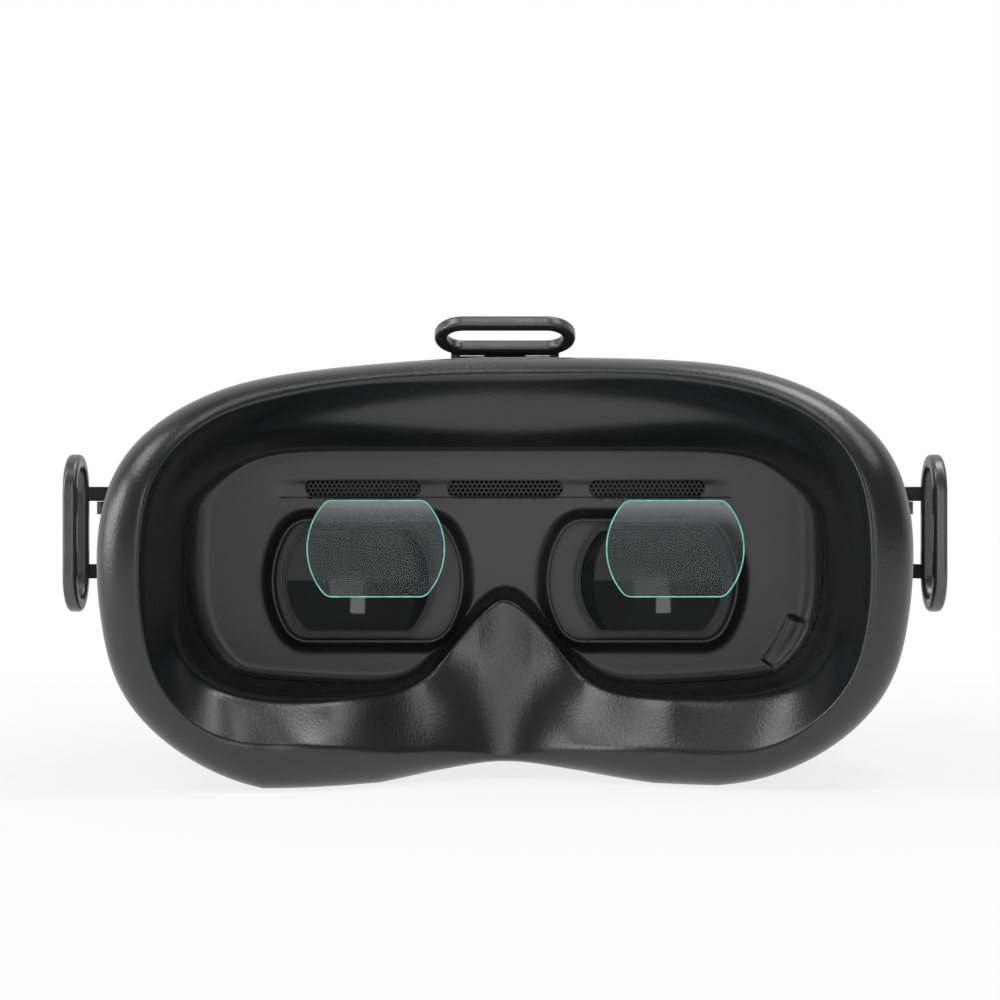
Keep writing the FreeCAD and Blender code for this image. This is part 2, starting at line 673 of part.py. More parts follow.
def side_loop(side):
    """Loop in the YZ plane beside the housing, with two arms to its hinge pin."""
    ring = loop_ring((SIDE_LOOP[1], SIDE_LOOP[0]), LOOP_BAR, LOOP_BAR)
    ring.rotate(V(0, 0, 0), Y, 90)
    ring.translate(V(side * SIDE_LOOP_X, SIDE_LOOP_REAR_Y + SIDE_LOOP[0] / 2, SIDE_LOOP_Z))
    bar_y = SIDE_LOOP_REAR_Y + SIDE_LOOP[0] - LOOP_BAR / 2
    arms = []
    for s in (-1, 1):
        z = SIDE_LOOP_Z + s * (EAR_SPREAD / 2 + EAR / 2 + ARM / 2 + 0.1)
        z0, z1 = z - ARM / 2, z + ARM / 2
        eye = rod(EAR_R - 0.4, (side * SIDE_PIN[0], SIDE_PIN[1], z0), (side * SIDE_PIN[0], SIDE_PIN[1], z1))
        outline = [V(side * SIDE_LOOP_X, bar_y - 1.2, z0), V(side * SIDE_LOOP_X, bar_y + 1.2, z0),
                   V(side * SIDE_PIN[0], SIDE_PIN[1] + 2.4, z0),
                   V(side * (SIDE_PIN[0] - 0.8), SIDE_PIN[1] - 2.3, z0)]
        link = Part.Face(Part.makePolygon(outline + outline[:1])).extrude(V(0, 0, ARM))
        arms.append(link.fuse(eye))
    body = ring.fuse(arms)
    pin = rod(SIDE_PIN_R + ROD_RUN, (side * SIDE_PIN[0], SIDE_PIN[1], SIDE_LOOP_Z - 20),
              (side * SIDE_PIN[0], SIDE_PIN[1], SIDE_LOOP_Z + 20))
    return only(body.cut(pin).removeSplitter())


def side_bracket(side):
    """Block in the shell's wall with two rounded ears for the pin."""
    body = side_bracket_core(side, 0.0)
    for s in (-1, 1):
        z = SIDE_LOOP_Z + s * EAR_SPREAD / 2
        ear = rod(EAR_R, (side * SIDE_PIN[0], SIDE_PIN[1], z - EAR / 2),
                  (side * SIDE_PIN[0], SIDE_PIN[1], z + EAR / 2))
        lo, hi = sorted((side * SIDE_PIN[0], side * (SIDE_PIN[0] - 4.0)))
        ear = ear.fuse(block((lo, hi), (SIDE_PIN[1] - EAR_R, SIDE_PIN[1] + EAR_R),
                             (z - EAR / 2, z + EAR / 2)))
        body = body.fuse(ear)
    body = body.cut(rod(SIDE_PIN_R, (side * SIDE_PIN[0], SIDE_PIN[1], 0),
                        (side * SIDE_PIN[0], SIDE_PIN[1], 100)))
    return only(body.removeSplitter())


for name, side in SIDES:
    parts[name + "_strap_loop"] = side_loop(side)
    parts[name + "_loop_bracket"] = side_bracket(side)
    reach = EAR_SPREAD / 2 + EAR / 2 + ARM
    parts[name + "_loop_pin"] = rod(SIDE_PIN_R, (side * SIDE_PIN[0], SIDE_PIN[1], SIDE_LOOP_Z - reach),
                                    (side * SIDE_PIN[0], SIDE_PIN[1], SIDE_LOOP_Z + reach))


def top_loop():
    """Loop over the forehead, leaning back, with one knuckle on its hinge pin."""
    ring = loop_ring(TOP_LOOP, TOP_LOOP_BAR, TOP_LOOP_BAR)
    # the ring's own +Y side becomes the hinge side
    ring.translate(V(0, -TOP_LOOP[1] / 2 - 0.6, 0))
    ring.rotate(V(0, 0, 0), X, -TOP_LOOP_TILT)
    ring.translate(V(0, TOP_PIN[0] - 0.9, TOP_PIN[1] + 0.9))
    knuckle = rod(KNUCKLE_R, (-KNUCKLE / 2, *TOP_PIN), (KNUCKLE / 2, *TOP_PIN))
    neck = centred((KNUCKLE, 2.6, 2.6), (0, 0, 0))
    neck.rotate(V(0, 0, 0), X, -TOP_LOOP_TILT)
    neck.translate(V(0, TOP_PIN[0] - 2.2, TOP_PIN[1] + 1.3))
    body = ring.fuse(knuckle).fuse(neck)
    body = body.cut(rod(TOP_PIN_R + ROD_RUN, (-30, *TOP_PIN), (30, *TOP_PIN)))
    return only(body.removeSplitter())


def top_bracket_base(grow):
    """Low rounded block, let into the shell's top by part of its height."""
    length, width, height = TOP_BASE
    size = (length + 2 * grow, width + 2 * grow, height)
    base = centred(size, (0, TOP_PIN[0] + 1.5, HOUSING_TOP - TOP_BASE_SUNK + height / 2))
    return base.makeFillet(3.5 + grow, [e for e in base.Edges if e.BoundBox.ZLength > height - EPS])


def top_bracket():
    """Low base on the shell's top with two ears for the pin."""
    base = top_bracket_base(0.0)
    rim = [e for e in base.Edges if e.BoundBox.ZMin > base.BoundBox.ZMax - EPS]
    body = base.makeFillet(0.5, rim)
    ears = []
    for s in (-1, 1):
        x = s * TOP_EAR_X
        ears.append(rod(TOP_EAR_R, (x - TOP_EAR / 2, *TOP_PIN), (x + TOP_EAR / 2, *TOP_PIN)))
        ears.append(block((x - TOP_EAR / 2, x + TOP_EAR / 2),
                          (TOP_PIN[0] - TOP_EAR_R, TOP_PIN[0] + TOP_EAR_R),
                          (HOUSING_TOP, TOP_PIN[1])))
    body = body.fuse(ears)
    trough = rod(KNUCKLE_R + 0.4, (-KNUCKLE / 2 - 0.4, *TOP_PIN), (KNUCKLE / 2 + 0.4, *TOP_PIN))
    return only(body.cut([trough, rod(TOP_PIN_R, (-30, *TOP_PIN), (30, *TOP_PIN))]))


parts["main_shell"] = main_shell()
parts["top_strap_loop"] = top_loop()
parts["top_loop_bracket"] = top_bracket()
pin_end = TOP_EAR_X + TOP_EAR / 2
parts["top_loop_pin"] = rod(TOP_PIN_R, (-pin_end, *TOP_PIN), (pin_end, *TOP_PIN))
print("loops done", flush=True)


# ---------------------------------------------------------------- eyepieces
def barrel(x, side):
    """Tube of the eyepiece's outline with its blind, and a ledge that the lens rests on."""
    tube = eye_outline(grown(WINDOW, BARREL_WALL), WINDOW_CORNER + BARREL_WALL, x, EYE_Z, BARREL_REAR_Y,
                       BARREL_FRONT_Y)
    ledge_y = LENS_Y + LENS_EDGE + LENS_GAP
    tube = tube.cut(eye_outline(WINDOW, WINDOW_CORNER, x, EYE_Z, BARREL_REAR_Y - 1, ledge_y))
    tube = tube.fuse(blind(x, side))
    tube = tube.cut(eye_outline(grown(WINDOW, -1.2), WINDOW_CORNER, x, EYE_Z, ledge_y - EPS,
                                BARREL_FRONT_Y + 1))
    return only(tube)


def lens(x):
    """Eyepiece lens: flat towards the eye, domed towards the display."""
    edge = eye_outline(grown(WINDOW, -LENS_GAP), WINDOW_CORNER, x, EYE_Z, LENS_Y,
                       LENS_Y + LENS_EDGE + LENS_BULGE)
    half = WINDOW[0] / 2
    radius = (half ** 2 + LENS_BULGE ** 2) / (2 * LENS_BULGE)
    front = LENS_Y + LENS_EDGE + LENS_BULGE
    dome = Part.makeSphere(radius, V(x, front - radius, EYE_Z))
    body = edge.common(dome)
    inner = eye_outline(grown(WINDOW, -1.2 - LENS_GAP), WINDOW_CORNER, x, EYE_Z, LENS_Y, front)
    slice_ = block((x - 30, x + 30), (LENS_Y, LENS_Y + LENS_EDGE), (0, 90))
    return only(body.common(inner.fuse(slice_)))


def blind(x, side):
    """Thin plate round the barrel that keeps light out of the opening as the barrel slides."""
    near, far = x - side * BLIND_IN, x + side * BLIND_OUT
    lo, hi = sorted((near, far))
    plate = block((lo, hi), (BLIND_Y, BLIND_Y + BLIND),
                  (EYE_Z - BLIND_HEIGHT / 2, EYE_Z + BLIND_HEIGHT / 2))
    hole = eye_outline(grown(WINDOW, BARREL_WALL / 2), WINDOW_CORNER, x, EYE_Z, BLIND_Y - 1, BLIND_Y + 2)
    return plate.cut(hole)


def carriage(x):
    """Slider that holds the barrel and runs on both guide rods."""
    body = centred(CARRIAGE, (x, ROD_Y, EYE_Z))
    body = body.cut(eye_outline(grown(WINDOW, BARREL_WALL + 0.05), WINDOW_CORNER + BARREL_WALL, x, EYE_Z,
                                0, 20))
    wide = centred((WINDOW[0] + 8.0, CARRIAGE[1], WINDOW[1] * 0.9), (x, ROD_Y, EYE_Z))
    wide = wide.cut(eye_outline(grown(WINDOW, BARREL_WALL + 0.05), WINDOW_CORNER + BARREL_WALL, x, EYE_Z,
                                0, 20))
    body = body.fuse(wide)
    for z in (ROD_LOW, ROD_HIGH):
        body = body.cut(rod(ROD_R + ROD_RUN, (x - 40, ROD_Y, z), (x + 40, ROD_Y, z)))
    return only(body.removeSplitter())


def knob(x):
    """Finger knob under the housing, with a stem up to the carriage."""
    body = centred(KNOB, (x, ROD_Y, KNOB_Z + KNOB[2] / 2))
    stem = centred((6.0, 4.0, EYE_Z - CARRIAGE[2] / 2 - KNOB_Z - 1.0),
                   (x, ROD_Y, (KNOB_Z + 1.0 + EYE_Z - CARRIAGE[2] / 2) / 2))
    body = body.fuse(stem)
    for i in range(-3, 4):
        body = body.cut(block((x + i * 2.0 - 0.5, x + i * 2.0 + 0.5), (0, 20), (KNOB_Z - 1, KNOB_Z + 0.7)))
    return only(body.removeSplitter())


def display_case(x):
    """Box on the barrel's front end that holds the display."""
    w, h, t = DISPLAY
    size = (w + 2 * DISPLAY_CASE, DISPLAY_CASE_DEPTH, h + 2 * DISPLAY_CASE)
    y0 = BARREL_FRONT_Y
    body = centred(size, (x, y0 + DISPLAY_CASE_DEPTH / 2, EYE_Z))
    body = body.cut(eye_outline(grown(WINDOW, -1.2), WINDOW_CORNER, x, EYE_Z, y0 - 1,
                                y0 + DISPLAY_CASE + 1))
    room = (w + 2 * LENS_GAP, DISPLAY_CASE_DEPTH, h + 2 * LENS_GAP)
    return body.cut(centred(room, (x, y0 + DISPLAY_CASE + DISPLAY_CASE_DEPTH / 2, EYE_Z)))


def display(x):
    w, h, t = DISPLAY
    return centred((w, t, h), (x, BARREL_FRONT_Y + DISPLAY_CASE + 2.0 + t / 2, EYE_Z))


def film(x):
    """Thin glass film of the lens's outline, shown lifted off its lens."""
    dx, dy, dz = FILM_LIFT
    front = LENS_Y - FILM_SEAT_GAP
    body = eye_outline(FILM[:2], FILM_CORNER, x, EYE_Z, front - FILM[2], front)
    body.translate(V(dx, dy, dz))
    return only(body)


for name, side in SIDES:
    x = side * EYE_X
    parts[name + "_barrel"] = barrel(x, side)
    parts[name + "_lens"] = lens(x)
    parts[name + "_carriage"] = carriage(x)
    parts[name + "_eye_distance_knob"] = knob(x)
    parts[name + "_display_case"] = display_case(x)
    parts[name + "_display"] = display(x)
    parts[name + "_lens_film"] = film(x)

rod_half = BRACKET_X + BRACKET / 2
parts["upper_guide_rod"] = rod(ROD_R, (-rod_half, ROD_Y, ROD_HIGH), (rod_half, ROD_Y, ROD_HIGH))
parts["lower_guide_rod"] = rod(ROD_R, (-rod_half, ROD_Y, ROD_LOW), (rod_half, ROD_Y, ROD_LOW))


print("eyepieces done", flush=True)


# ---------------------------------------------------------------- boards, fan and heat sink
def main_board():
    board = centred(BOARD, (0, BOARD_Y + BOARD[1] / 2, BOARD_Z))
    for x in (-STANDOFF_X, STANDOFF_X):
        for s in (-1, 1):
            z = BOARD_Z + s * STANDOFF_SPREAD / 2
            board = board.cut(rod(1.1, (x, 0, z), (x, 60, z)))
    chips = []
    for x, z, w, h in ((-18, 52, 14, 14), (22, 54, 10, 12), (4, 34, 18, 8), (-46, 38, 9, 9),
                       (50, 36, 12, 7)):
        chips.append(centred((w, 1.2, h), (x, BOARD_Y - 0.6, z)))
    return only(board.fuse(chips))


def board_screws():
    made = []
    for x in (-STANDOFF_X, STANDOFF_X):
        for s in (-1, 1):
            z = BOARD_Z + s * STANDOFF_SPREAD / 2
            head = rod(1.8, (x, BOARD_Y + BOARD[1], z), (x, BOARD_Y + BOARD[1] + 1.2, z))
            made.append(head.fuse(rod(0.8, (x, BOARD_Y - 5, z),
                                      (x, BOARD_Y + BOARD[1] + 0.5, z))).removeSplitter())
    return Part.makeCompound(made)


def flange_screws():
    made = []
    for x, z in FLANGE_SCREWS:
        for s in (-1, 1):
            head = rod(SCREW_HEAD_R, (s * x, PAD_BASE_Y, z), (s * x, PAD_BASE_Y + SCREW_HEAD, z))
            shank = rod(SCREW_R, (s * x, PAD_BASE_Y + 0.5, z), (s * x, PAD_BASE_Y + SCREW_LENGTH, z))
            made.append(head.fuse(shank).removeSplitter())
    return Part.makeCompound(made)


def heat_sink():
    w, d, h = SINK
    y0 = BOARD_Y + BOARD[1]
    body = centred((w, 2.0, h), (0, y0 + 1.0, BOARD_Z))
    count = 9
    for i in range(count):
        x = -w / 2 + 0.6 + i * (w - 1.2) / (count - 1)
        body = body.fuse(centred((1.2, d, h), (x, y0 + d / 2, BOARD_Z)))
    return body.removeSplitter()


def fan_frame():
    """Square frame with a round duct, on the board's front, and spokes to the motor hub."""
    side, depth = FAN
    body = centred((side, depth, side), (FAN_X, FAN_Y + depth / 2, LOUVRE_Z))
    body = body.cut(rod(side / 2 - 1.5, (FAN_X, FAN_Y - 1, LOUVRE_Z), (FAN_X, FAN_Y + depth + 1, LOUVRE_Z)))
    hub = rod(6.0, (FAN_X, FAN_Y, LOUVRE_Z), (FAN_X, FAN_Y + 1.2, LOUVRE_Z))
    for i in range(3):
        spoke = centred((side - 2.6, 1.2, 2.0), (FAN_X, FAN_Y + 0.6, LOUVRE_Z))
        spoke.rotate(V(FAN_X, 0, LOUVRE_Z), Y, 60 * i + 30)
        hub = hub.fuse(spoke)
    axle = rod(1.0, (FAN_X, FAN_Y, LOUVRE_Z), (FAN_X, FAN_Y + 5.0, LOUVRE_Z))
    feet = []
    for sx in (-1, 1):
        for sz in (-1, 1):
            x, z = FAN_X + sx * (side / 2 - 2.2), LOUVRE_Z + sz * (side / 2 - 2.2)
            feet.append(rod(1.8, (x, BOARD_Y + BOARD[1], z), (x, FAN_Y + 0.5, z)))
    body = body.fuse(hub).fuse(axle).fuse(feet)
    return only(body.removeSplitter())


def fan_impeller():
    """Hub cup and swept blades that turn on the fan's axle."""
    side, depth = FAN
    y0, y1 = FAN_Y + 1.7, FAN_Y + depth - 0.6
    hub = rod(6.5, (FAN_X, y0, LOUVRE_Z), (FAN_X, y1, LOUVRE_Z))
    radius = side / 2 - 2.4
    blades = []
    for i in range(BLADES):
        blade = centred((radius - 4.0, 0.9, 5.4),
                        (FAN_X + 4.0 + (radius - 4.0) / 2, (y0 + y1) / 2, LOUVRE_Z))
        blade.rotate(V(FAN_X, (y0 + y1) / 2, LOUVRE_Z), X, 38)
        blade.rotate(V(FAN_X, 0, LOUVRE_Z), Y, 360.0 / BLADES * i)
        blades.append(blade)
    body = hub.fuse(blades)
    body = body.common(rod(radius, (FAN_X, y0, LOUVRE_Z), (FAN_X, y1, LOUVRE_Z)))
    body = body.cut(rod(1.0 + ROD_RUN, (FAN_X, y0 - 1, LOUVRE_Z), (FAN_X, FAN_Y + 5.2, LOUVRE_Z)))
    return only(body.removeSplitter())


parts["main_board"] = main_board()
parts["board_screws"] = board_screws()
parts["flange_screws"] = flange_screws()
parts["heat_sink"] = heat_sink()
parts["fan_frame"] = fan_frame()
parts["fan_impeller"] = fan_impeller()
print("boards done", flush=True)


# ---------------------------------------------------------------- front
def front_cover():
    skin = lofted(COVER_LEVELS)
    inner_levels = []
    for i, (y, share, top, bottom) in enumerate(COVER_LEVELS):
        inner_levels.append((y - WALL * (i / (len(COVER_LEVELS) - 1)) ** 2, share, top, bottom))
    body = hollow(skin, lofted(inner_levels, WALL))
    removed = [rounded_window(side * LOUVRE_X, 0.0, 40, 80) for _, side in SIDES]
    w, h, t = VISOR
    recess = centred((w, 2 * t, h), (0, FRONT_Y, LOUVRE_Z))
    removed.append(recess.makeFillet(4.0, [e for e in recess.Edges if e.BoundBox.YLength > t]))
    removed.append(display_window(FIT, 40, 80))
    return only(body.cut(removed))


def rounded_window(x, grow, y0, y1):
    w, h = LOUVRE_WINDOW
    body = centred((w + 2 * grow, y1 - y0, h + 2 * grow), (x, (y0 + y1) / 2, LOUVRE_Z))
    return body.makeFillet(5.0 + grow, [e for e in body.Edges if e.BoundBox.YLength > (y1 - y0) * 0.9])


def display_window(grow, y0, y1):
    return centred((12.0 + 2 * grow, y1 - y0, 8.0 + 2 * grow), (0, (y0 + y1) / 2, LOUVRE_Z - 14.0))


def louvre(x):
    """Grille with slanted slats that fills a window of the front cover."""
    y0, y1 = FRONT_Y - 4.0, FRONT_Y - 0.6
    frame = rounded_window(x, -FIT, y0, y1).cut(rounded_window(x, -1.6, y0 - 1, y1 + 1))
    w, h = LOUVRE_WINDOW
    made = frame
    for i in range(SLATS):
        z = LOUVRE_Z + (i - (SLATS - 1) / 2) * (h - 4.0) / SLATS
        slat = centred((w - 2.0, y1 - y0 + 0.6, SLAT), (x, (y0 + y1) / 2, z))
        slat.rotate(V(x, (y0 + y1) / 2, z), X, 24)
        made = made.fuse(slat.common(rounded_window(x, -0.8, y0, y1)))
    return only(made.removeSplitter())


def visor():
    w, h, t = VISOR
    body = centred((w - 2 * FIT, t, h - 2 * FIT), (0, FRONT_Y - t / 2, LOUVRE_Z))
    body = body.makeFillet(4.0 - FIT, [e for e in body.Edges if e.BoundBox.YLength > t * 0.9])
    return only(body.cut(display_window(FIT, 50, 70)))


parts["front_cover"] = front_cover()
parts["left_louvre"] = louvre(-LOUVRE_X)
parts["right_louvre"] = louvre(LOUVRE_X)
parts["front_visor"] = visor()
parts["channel_display"] = display_window(0.0, FRONT_Y - 6.0, FRONT_Y - 0.2)
print("front done", flush=True)


# ---------------------------------------------------------------- buttons

def button_board(side, buttons):
    """Small board under the buttons, with one switch for each."""
    width, thick = BUTTON_BOARD
    near, far = side * (BUTTON_X - BUTTON_BOARD_ENDS[0]), side * (FIVE_WAY_X + BUTTON_BOARD_ENDS[1])
    lo, hi = sorted((near, far))
    middle = BUTTON_ROW_Y + 1.0
    body = block((lo, hi), (middle - width / 2, middle + width / 2), (board_z - thick, board_z))
    for name, x in buttons:
        if name != "five_way_cap":
            body = body.fuse(centred((5.0, 5.0, SWITCH), (x, BUTTON_ROW_Y, board_z + SWITCH / 2)))
            continue
        # uprights that carry the yoke
        for s in (-1, 1):
            middle = x + s * YOKE_REACH
            height = FIVE_PIVOT + UPRIGHT - board_z
            upright = centred((UPRIGHT, 2.6, height), (middle, BUTTON_ROW_Y, board_z + height / 2))
            body = body.fuse(upright)
        body = body.cut(rod(TRUNNION_R + ROD_RUN, (x - 8, BUTTON_ROW_Y, FIVE_PIVOT),
                            (x + 8, BUTTON_ROW_Y, FIVE_PIVOT)))
    return only(body.removeSplitter())


def cap(x, r, bottom):
    """Round cap with a domed edge and a stem down to its switch."""
    top = wall_top(x, BUTTON_ROW_Y) + BUTTON_PROUD
    body = rod(r, (x, BUTTON_ROW_Y, top - 5.0), (x, BUTTON_ROW_Y, top))
    body = body.makeFillet(0.6, [e for e in body.Edges if e.BoundBox.ZMin > top - EPS])
    body = body.fuse(rod(1.2, (x, BUTTON_ROW_Y, bottom), (x, BUTTON_ROW_Y, top - 4.0)))
    return body.removeSplitter()


five_x = FIVE_WAY_X
five_top = wall_top(five_x, BUTTON_ROW_Y)

parts["right_button_board"] = button_board(1, RIGHT_BUTTONS)
parts["left_button_board"] = button_board(-1, LEFT_BUTTONS)
for name, x in RIGHT_BUTTONS[:2] + LEFT_BUTTONS:
    parts[name] = cap(x, BUTTON_R, board_z + SWITCH + TRAVEL_GAP)


def five_way_cap():
    """Thumb cap of the five-way stick."""
    body = rod(3.6, (five_x, BUTTON_ROW_Y, five_top - 0.6), (five_x, BUTTON_ROW_Y, five_top + 2.0))
    body = body.makeFillet(0.7, [e for e in body.Edges if e.BoundBox.ZMin > five_top + 2.0 - EPS])
    body = body.cut(Part.makeSphere(9.0, V(five_x, BUTTON_ROW_Y, five_top + 2.0 + 8.4)))
    socket = rod(0.9 + ROD_RUN, (five_x, BUTTON_ROW_Y, five_top - 1),
                 (five_x, BUTTON_ROW_Y, five_top + 0.9))
    return only(body.cut(socket))


def five_way_stem():
    """Stem that tilts left and right in the yoke."""
    body = rod(0.9, (five_x, BUTTON_ROW_Y, FIVE_PIVOT), (five_x, BUTTON_ROW_Y, five_top + 0.1))
    cross = rod(TRUNNION_R, (five_x, BUTTON_ROW_Y - 3.8, FIVE_PIVOT),
                (five_x, BUTTON_ROW_Y + 3.8, FIVE_PIVOT))
    return body.fuse(cross).fuse(Part.makeSphere(1.0, V(five_x, BUTTON_ROW_Y, FIVE_PIVOT))).removeSplitter()


def five_way_yoke():
    """Ring that tilts fore and aft in the uprights and carries the stem."""
    middle = (five_x, BUTTON_ROW_Y, FIVE_PIVOT)
    ring = rod(4.0, (five_x, BUTTON_ROW_Y, FIVE_PIVOT - 1.2), (five_x, BUTTON_ROW_Y, FIVE_PIVOT + 1.2))
    ring = ring.cut(rod(2.7, (five_x, BUTTON_ROW_Y, FIVE_PIVOT - 2),
                        (five_x, BUTTON_ROW_Y, FIVE_PIVOT + 2)))
    ring = ring.cut(rod(TRUNNION_R + ROD_RUN, (five_x, BUTTON_ROW_Y - 6, FIVE_PIVOT),
                        (five_x, BUTTON_ROW_Y + 6, FIVE_PIVOT)))
    for s in (-1, 1):
        ring = ring.fuse(rod(TRUNNION_R, (five_x + s * 3.2, *middle[1:]),
                             (five_x + s * (YOKE_REACH + 0.6), *middle[1:])))
    return only(ring.removeSplitter())


parts["five_way_cap"] = five_way_cap()
parts["five_way_stem"] = five_way_stem()
parts["five_way_yoke"] = five_way_yoke()

link_y, link_z = LINK_BUTTON
link_x = wall_side(link_y, link_z, -1)
link = rod(LINK_R, (link_x + 5.0, link_y, link_z), (link_x - 0.6, link_y, link_z))
link = link.fuse(rod(LINK_R + 1.0, (link_x + 5.0, link_y, link_z), (link_x + 4.0, link_y, link_z)))
parts["link_button"] = link.removeSplitter()


# ---------------------------------------------------------------- sockets
def jack(y):
    """Round socket for a 3.5 mm plug."""
    mouth = wall_side(y, SOCKET_Z, 1) + 0.2
    body = rod(JACK_R + JACK_WALL, (mouth - JACK_DEPTH - 2.0, y, SOCKET_Z), (mouth, y, SOCKET_Z))
    return body.cut(rod(JACK_R, (mouth - JACK_DEPTH, y, SOCKET_Z), (mouth + 1, y, SOCKET_Z)))


def power_socket():
    """Round power socket with its centre pin."""
    mouth = wall_side(POWER_Y, SOCKET_Z, 1) + 0.1
    body = rod(POWER_R, (mouth - 12.0, POWER_Y, SOCKET_Z), (mouth, POWER_Y, SOCKET_Z))
    body = body.cut(rod(2.8, (mouth - 10.0, POWER_Y, SOCKET_Z), (mouth + 1, POWER_Y, SOCKET_Z)))
    return body.fuse(rod(1.0, (mouth - 10.5, POWER_Y, SOCKET_Z), (mouth - 1.0, POWER_Y, SOCKET_Z)))


def slot_socket(size, y, tongue):
    """Flat socket in the left wall, with a tongue for the data plug."""
    mouth = wall_side(y, SOCKET_Z, -1) + 0.4
    length, height = size
    body = block((mouth, mouth + 10.0), (y - length / 2, y + length / 2),
                 (SOCKET_Z - height / 2, SOCKET_Z + height / 2))
    room = block((mouth - 1, mouth + 8.5), (y - length / 2 + 0.4, y + length / 2 - 0.4),
                 (SOCKET_Z - height / 2 + 0.4, SOCKET_Z + height / 2 - 0.4))
    body = body.cut(room)
    if tongue:
        body = body.fuse(block((mouth + 1.0, mouth + 9.0), (y - 3.2, y + 3.2),
                               (SOCKET_Z - 0.35, SOCKET_Z + 0.35)))
    return only(body)


for name, y in SIDE_SOCKETS_RIGHT:
    parts[name] = jack(y)
parts["power_socket"] = power_socket()
parts["data_socket"] = slot_socket(USB, USB_Y, True)
parts["card_socket"] = slot_socket(CARD, CARD_Y, False)


def antenna_socket(place, side):
    """Threaded coaxial socket with its nut on the shell."""
    body = antenna_line(place, side, ANTENNA_R, -6.0, ANTENNA_LENGTH + ANTENNA_NUT)
    tip = antenna_tip(place, side)
    way = V(side * place[2], 0, place[3])
    nut = Part.makeCylinder(4.3, ANTENNA_NUT + 1.2, tip - way * 1.2, way).cut(outer)
    body = body.fuse(nut)
    bore = Part.makeCylinder(2.3, ANTENNA_LENGTH, tip + way * (ANTENNA_NUT + 0.5), way)
    return only(body.cut(bore).removeSplitter())


for row, place in ANTENNAS.items():
    for name, side in SIDES:
        parts[f"{row}_{name}_antenna_socket"] = antenna_socket(place, side)


# ---------------------------------------------------------------- export
os.makedirs("parts", exist_ok=True)
for old in os.listdir("parts"):
    os.remove(os.path.join("parts", old))
for name, shape in parts.items():
    if not shape.isValid():
        print("not valid:", name)
    shape.exportStep(os.path.join("parts", name + ".step"))

whole = Part.makeCompound(list(parts.values())).BoundBox
print(len(parts), "nodes", [round(v, 2) for v in (whole.XMin, whole.XMax, whole.YMin, whole.YMax,
                                                  whole.ZMin, whole.ZMax)])
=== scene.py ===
"""Dressed model of the fpv goggles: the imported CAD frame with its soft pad, basin and finishes."""
import json
import math

import bpy
import numpy as np
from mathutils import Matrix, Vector
from mathutils.geometry import delaunay_2d_cdt


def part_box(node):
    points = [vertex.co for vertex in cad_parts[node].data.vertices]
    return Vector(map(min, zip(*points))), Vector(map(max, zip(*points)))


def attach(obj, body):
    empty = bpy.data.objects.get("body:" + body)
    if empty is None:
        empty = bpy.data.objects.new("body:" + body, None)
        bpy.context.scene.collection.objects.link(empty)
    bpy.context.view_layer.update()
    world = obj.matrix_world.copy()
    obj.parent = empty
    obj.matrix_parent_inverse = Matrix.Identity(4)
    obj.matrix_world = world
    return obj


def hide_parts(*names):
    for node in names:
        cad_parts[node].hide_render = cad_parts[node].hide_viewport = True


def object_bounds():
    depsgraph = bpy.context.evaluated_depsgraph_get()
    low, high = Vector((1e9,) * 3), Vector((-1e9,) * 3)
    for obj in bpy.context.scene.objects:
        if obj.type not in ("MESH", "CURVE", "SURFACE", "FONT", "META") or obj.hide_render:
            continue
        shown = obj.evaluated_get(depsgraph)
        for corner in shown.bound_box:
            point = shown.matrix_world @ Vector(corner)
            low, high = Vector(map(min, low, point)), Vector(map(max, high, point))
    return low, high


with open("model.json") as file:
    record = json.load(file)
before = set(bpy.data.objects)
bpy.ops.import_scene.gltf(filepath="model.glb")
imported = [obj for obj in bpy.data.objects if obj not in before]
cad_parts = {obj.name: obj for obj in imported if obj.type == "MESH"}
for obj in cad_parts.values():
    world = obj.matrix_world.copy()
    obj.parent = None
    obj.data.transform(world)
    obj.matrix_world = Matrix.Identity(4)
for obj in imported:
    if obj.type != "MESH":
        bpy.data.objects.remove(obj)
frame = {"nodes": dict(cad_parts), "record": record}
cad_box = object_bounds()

MM = 0.001
scene = bpy.context.scene
nodes = frame["nodes"]

# ---------------------------------------------------------------- sizes, in millimetres
PAD_WIDTH, PAD_TOP = 181.0, 98.0
PAD_BASE_Y, REAR_Y = -20.0, -60.85
HOUSING_WIDTH, HOUSING_TOP = 184.0, 98.0
HOUSING_REAR_SHARE, HOUSING_REAR_DROP = 0.982, 1.4
FIT = 0.15
NOSE_RISE, NOSE_HALF = 3.9, 29.0
LIP_SHARE, LIP_EDGE = 0.45, 1.3
PLATE_Y, PLATE = -14.0, 2.0
UNDER_LIP = (0.5, 1.0)          # how far outside and behind the lip's edge the basin's wall ends
FACE_LEFT_OUT = (0.9, 0.6)      # the back starts this far outside the basin, or before the plate's back

EYE_X, EYE_Z = 35.0, 45.8
OPENING_X, OPENING, OPENING_CORNER, OPENING_PLAY = 32.7, (44.4, 28.2), 6.0, 0.1
# each opening's collar: its rise, rounded edge, flat rim with its fall, and foot with its steepness
COLLAR_RISE, COLLAR_EDGE, COLLAR_RIM, COLLAR_CROWN, COLLAR_FOOT, COLLAR_FALL = 3.4, 0.4, 0.85, 0.18, 3.4, 2.3
WINDOW, WINDOW_CORNER = (34.6, 24.4), 2.5
LENS_R = 33.0
FILM, FILM_CORNER, FILM_EDGE, FILM_BEVEL = (32.4, 22.8), 2.8, 0.3, 0.06

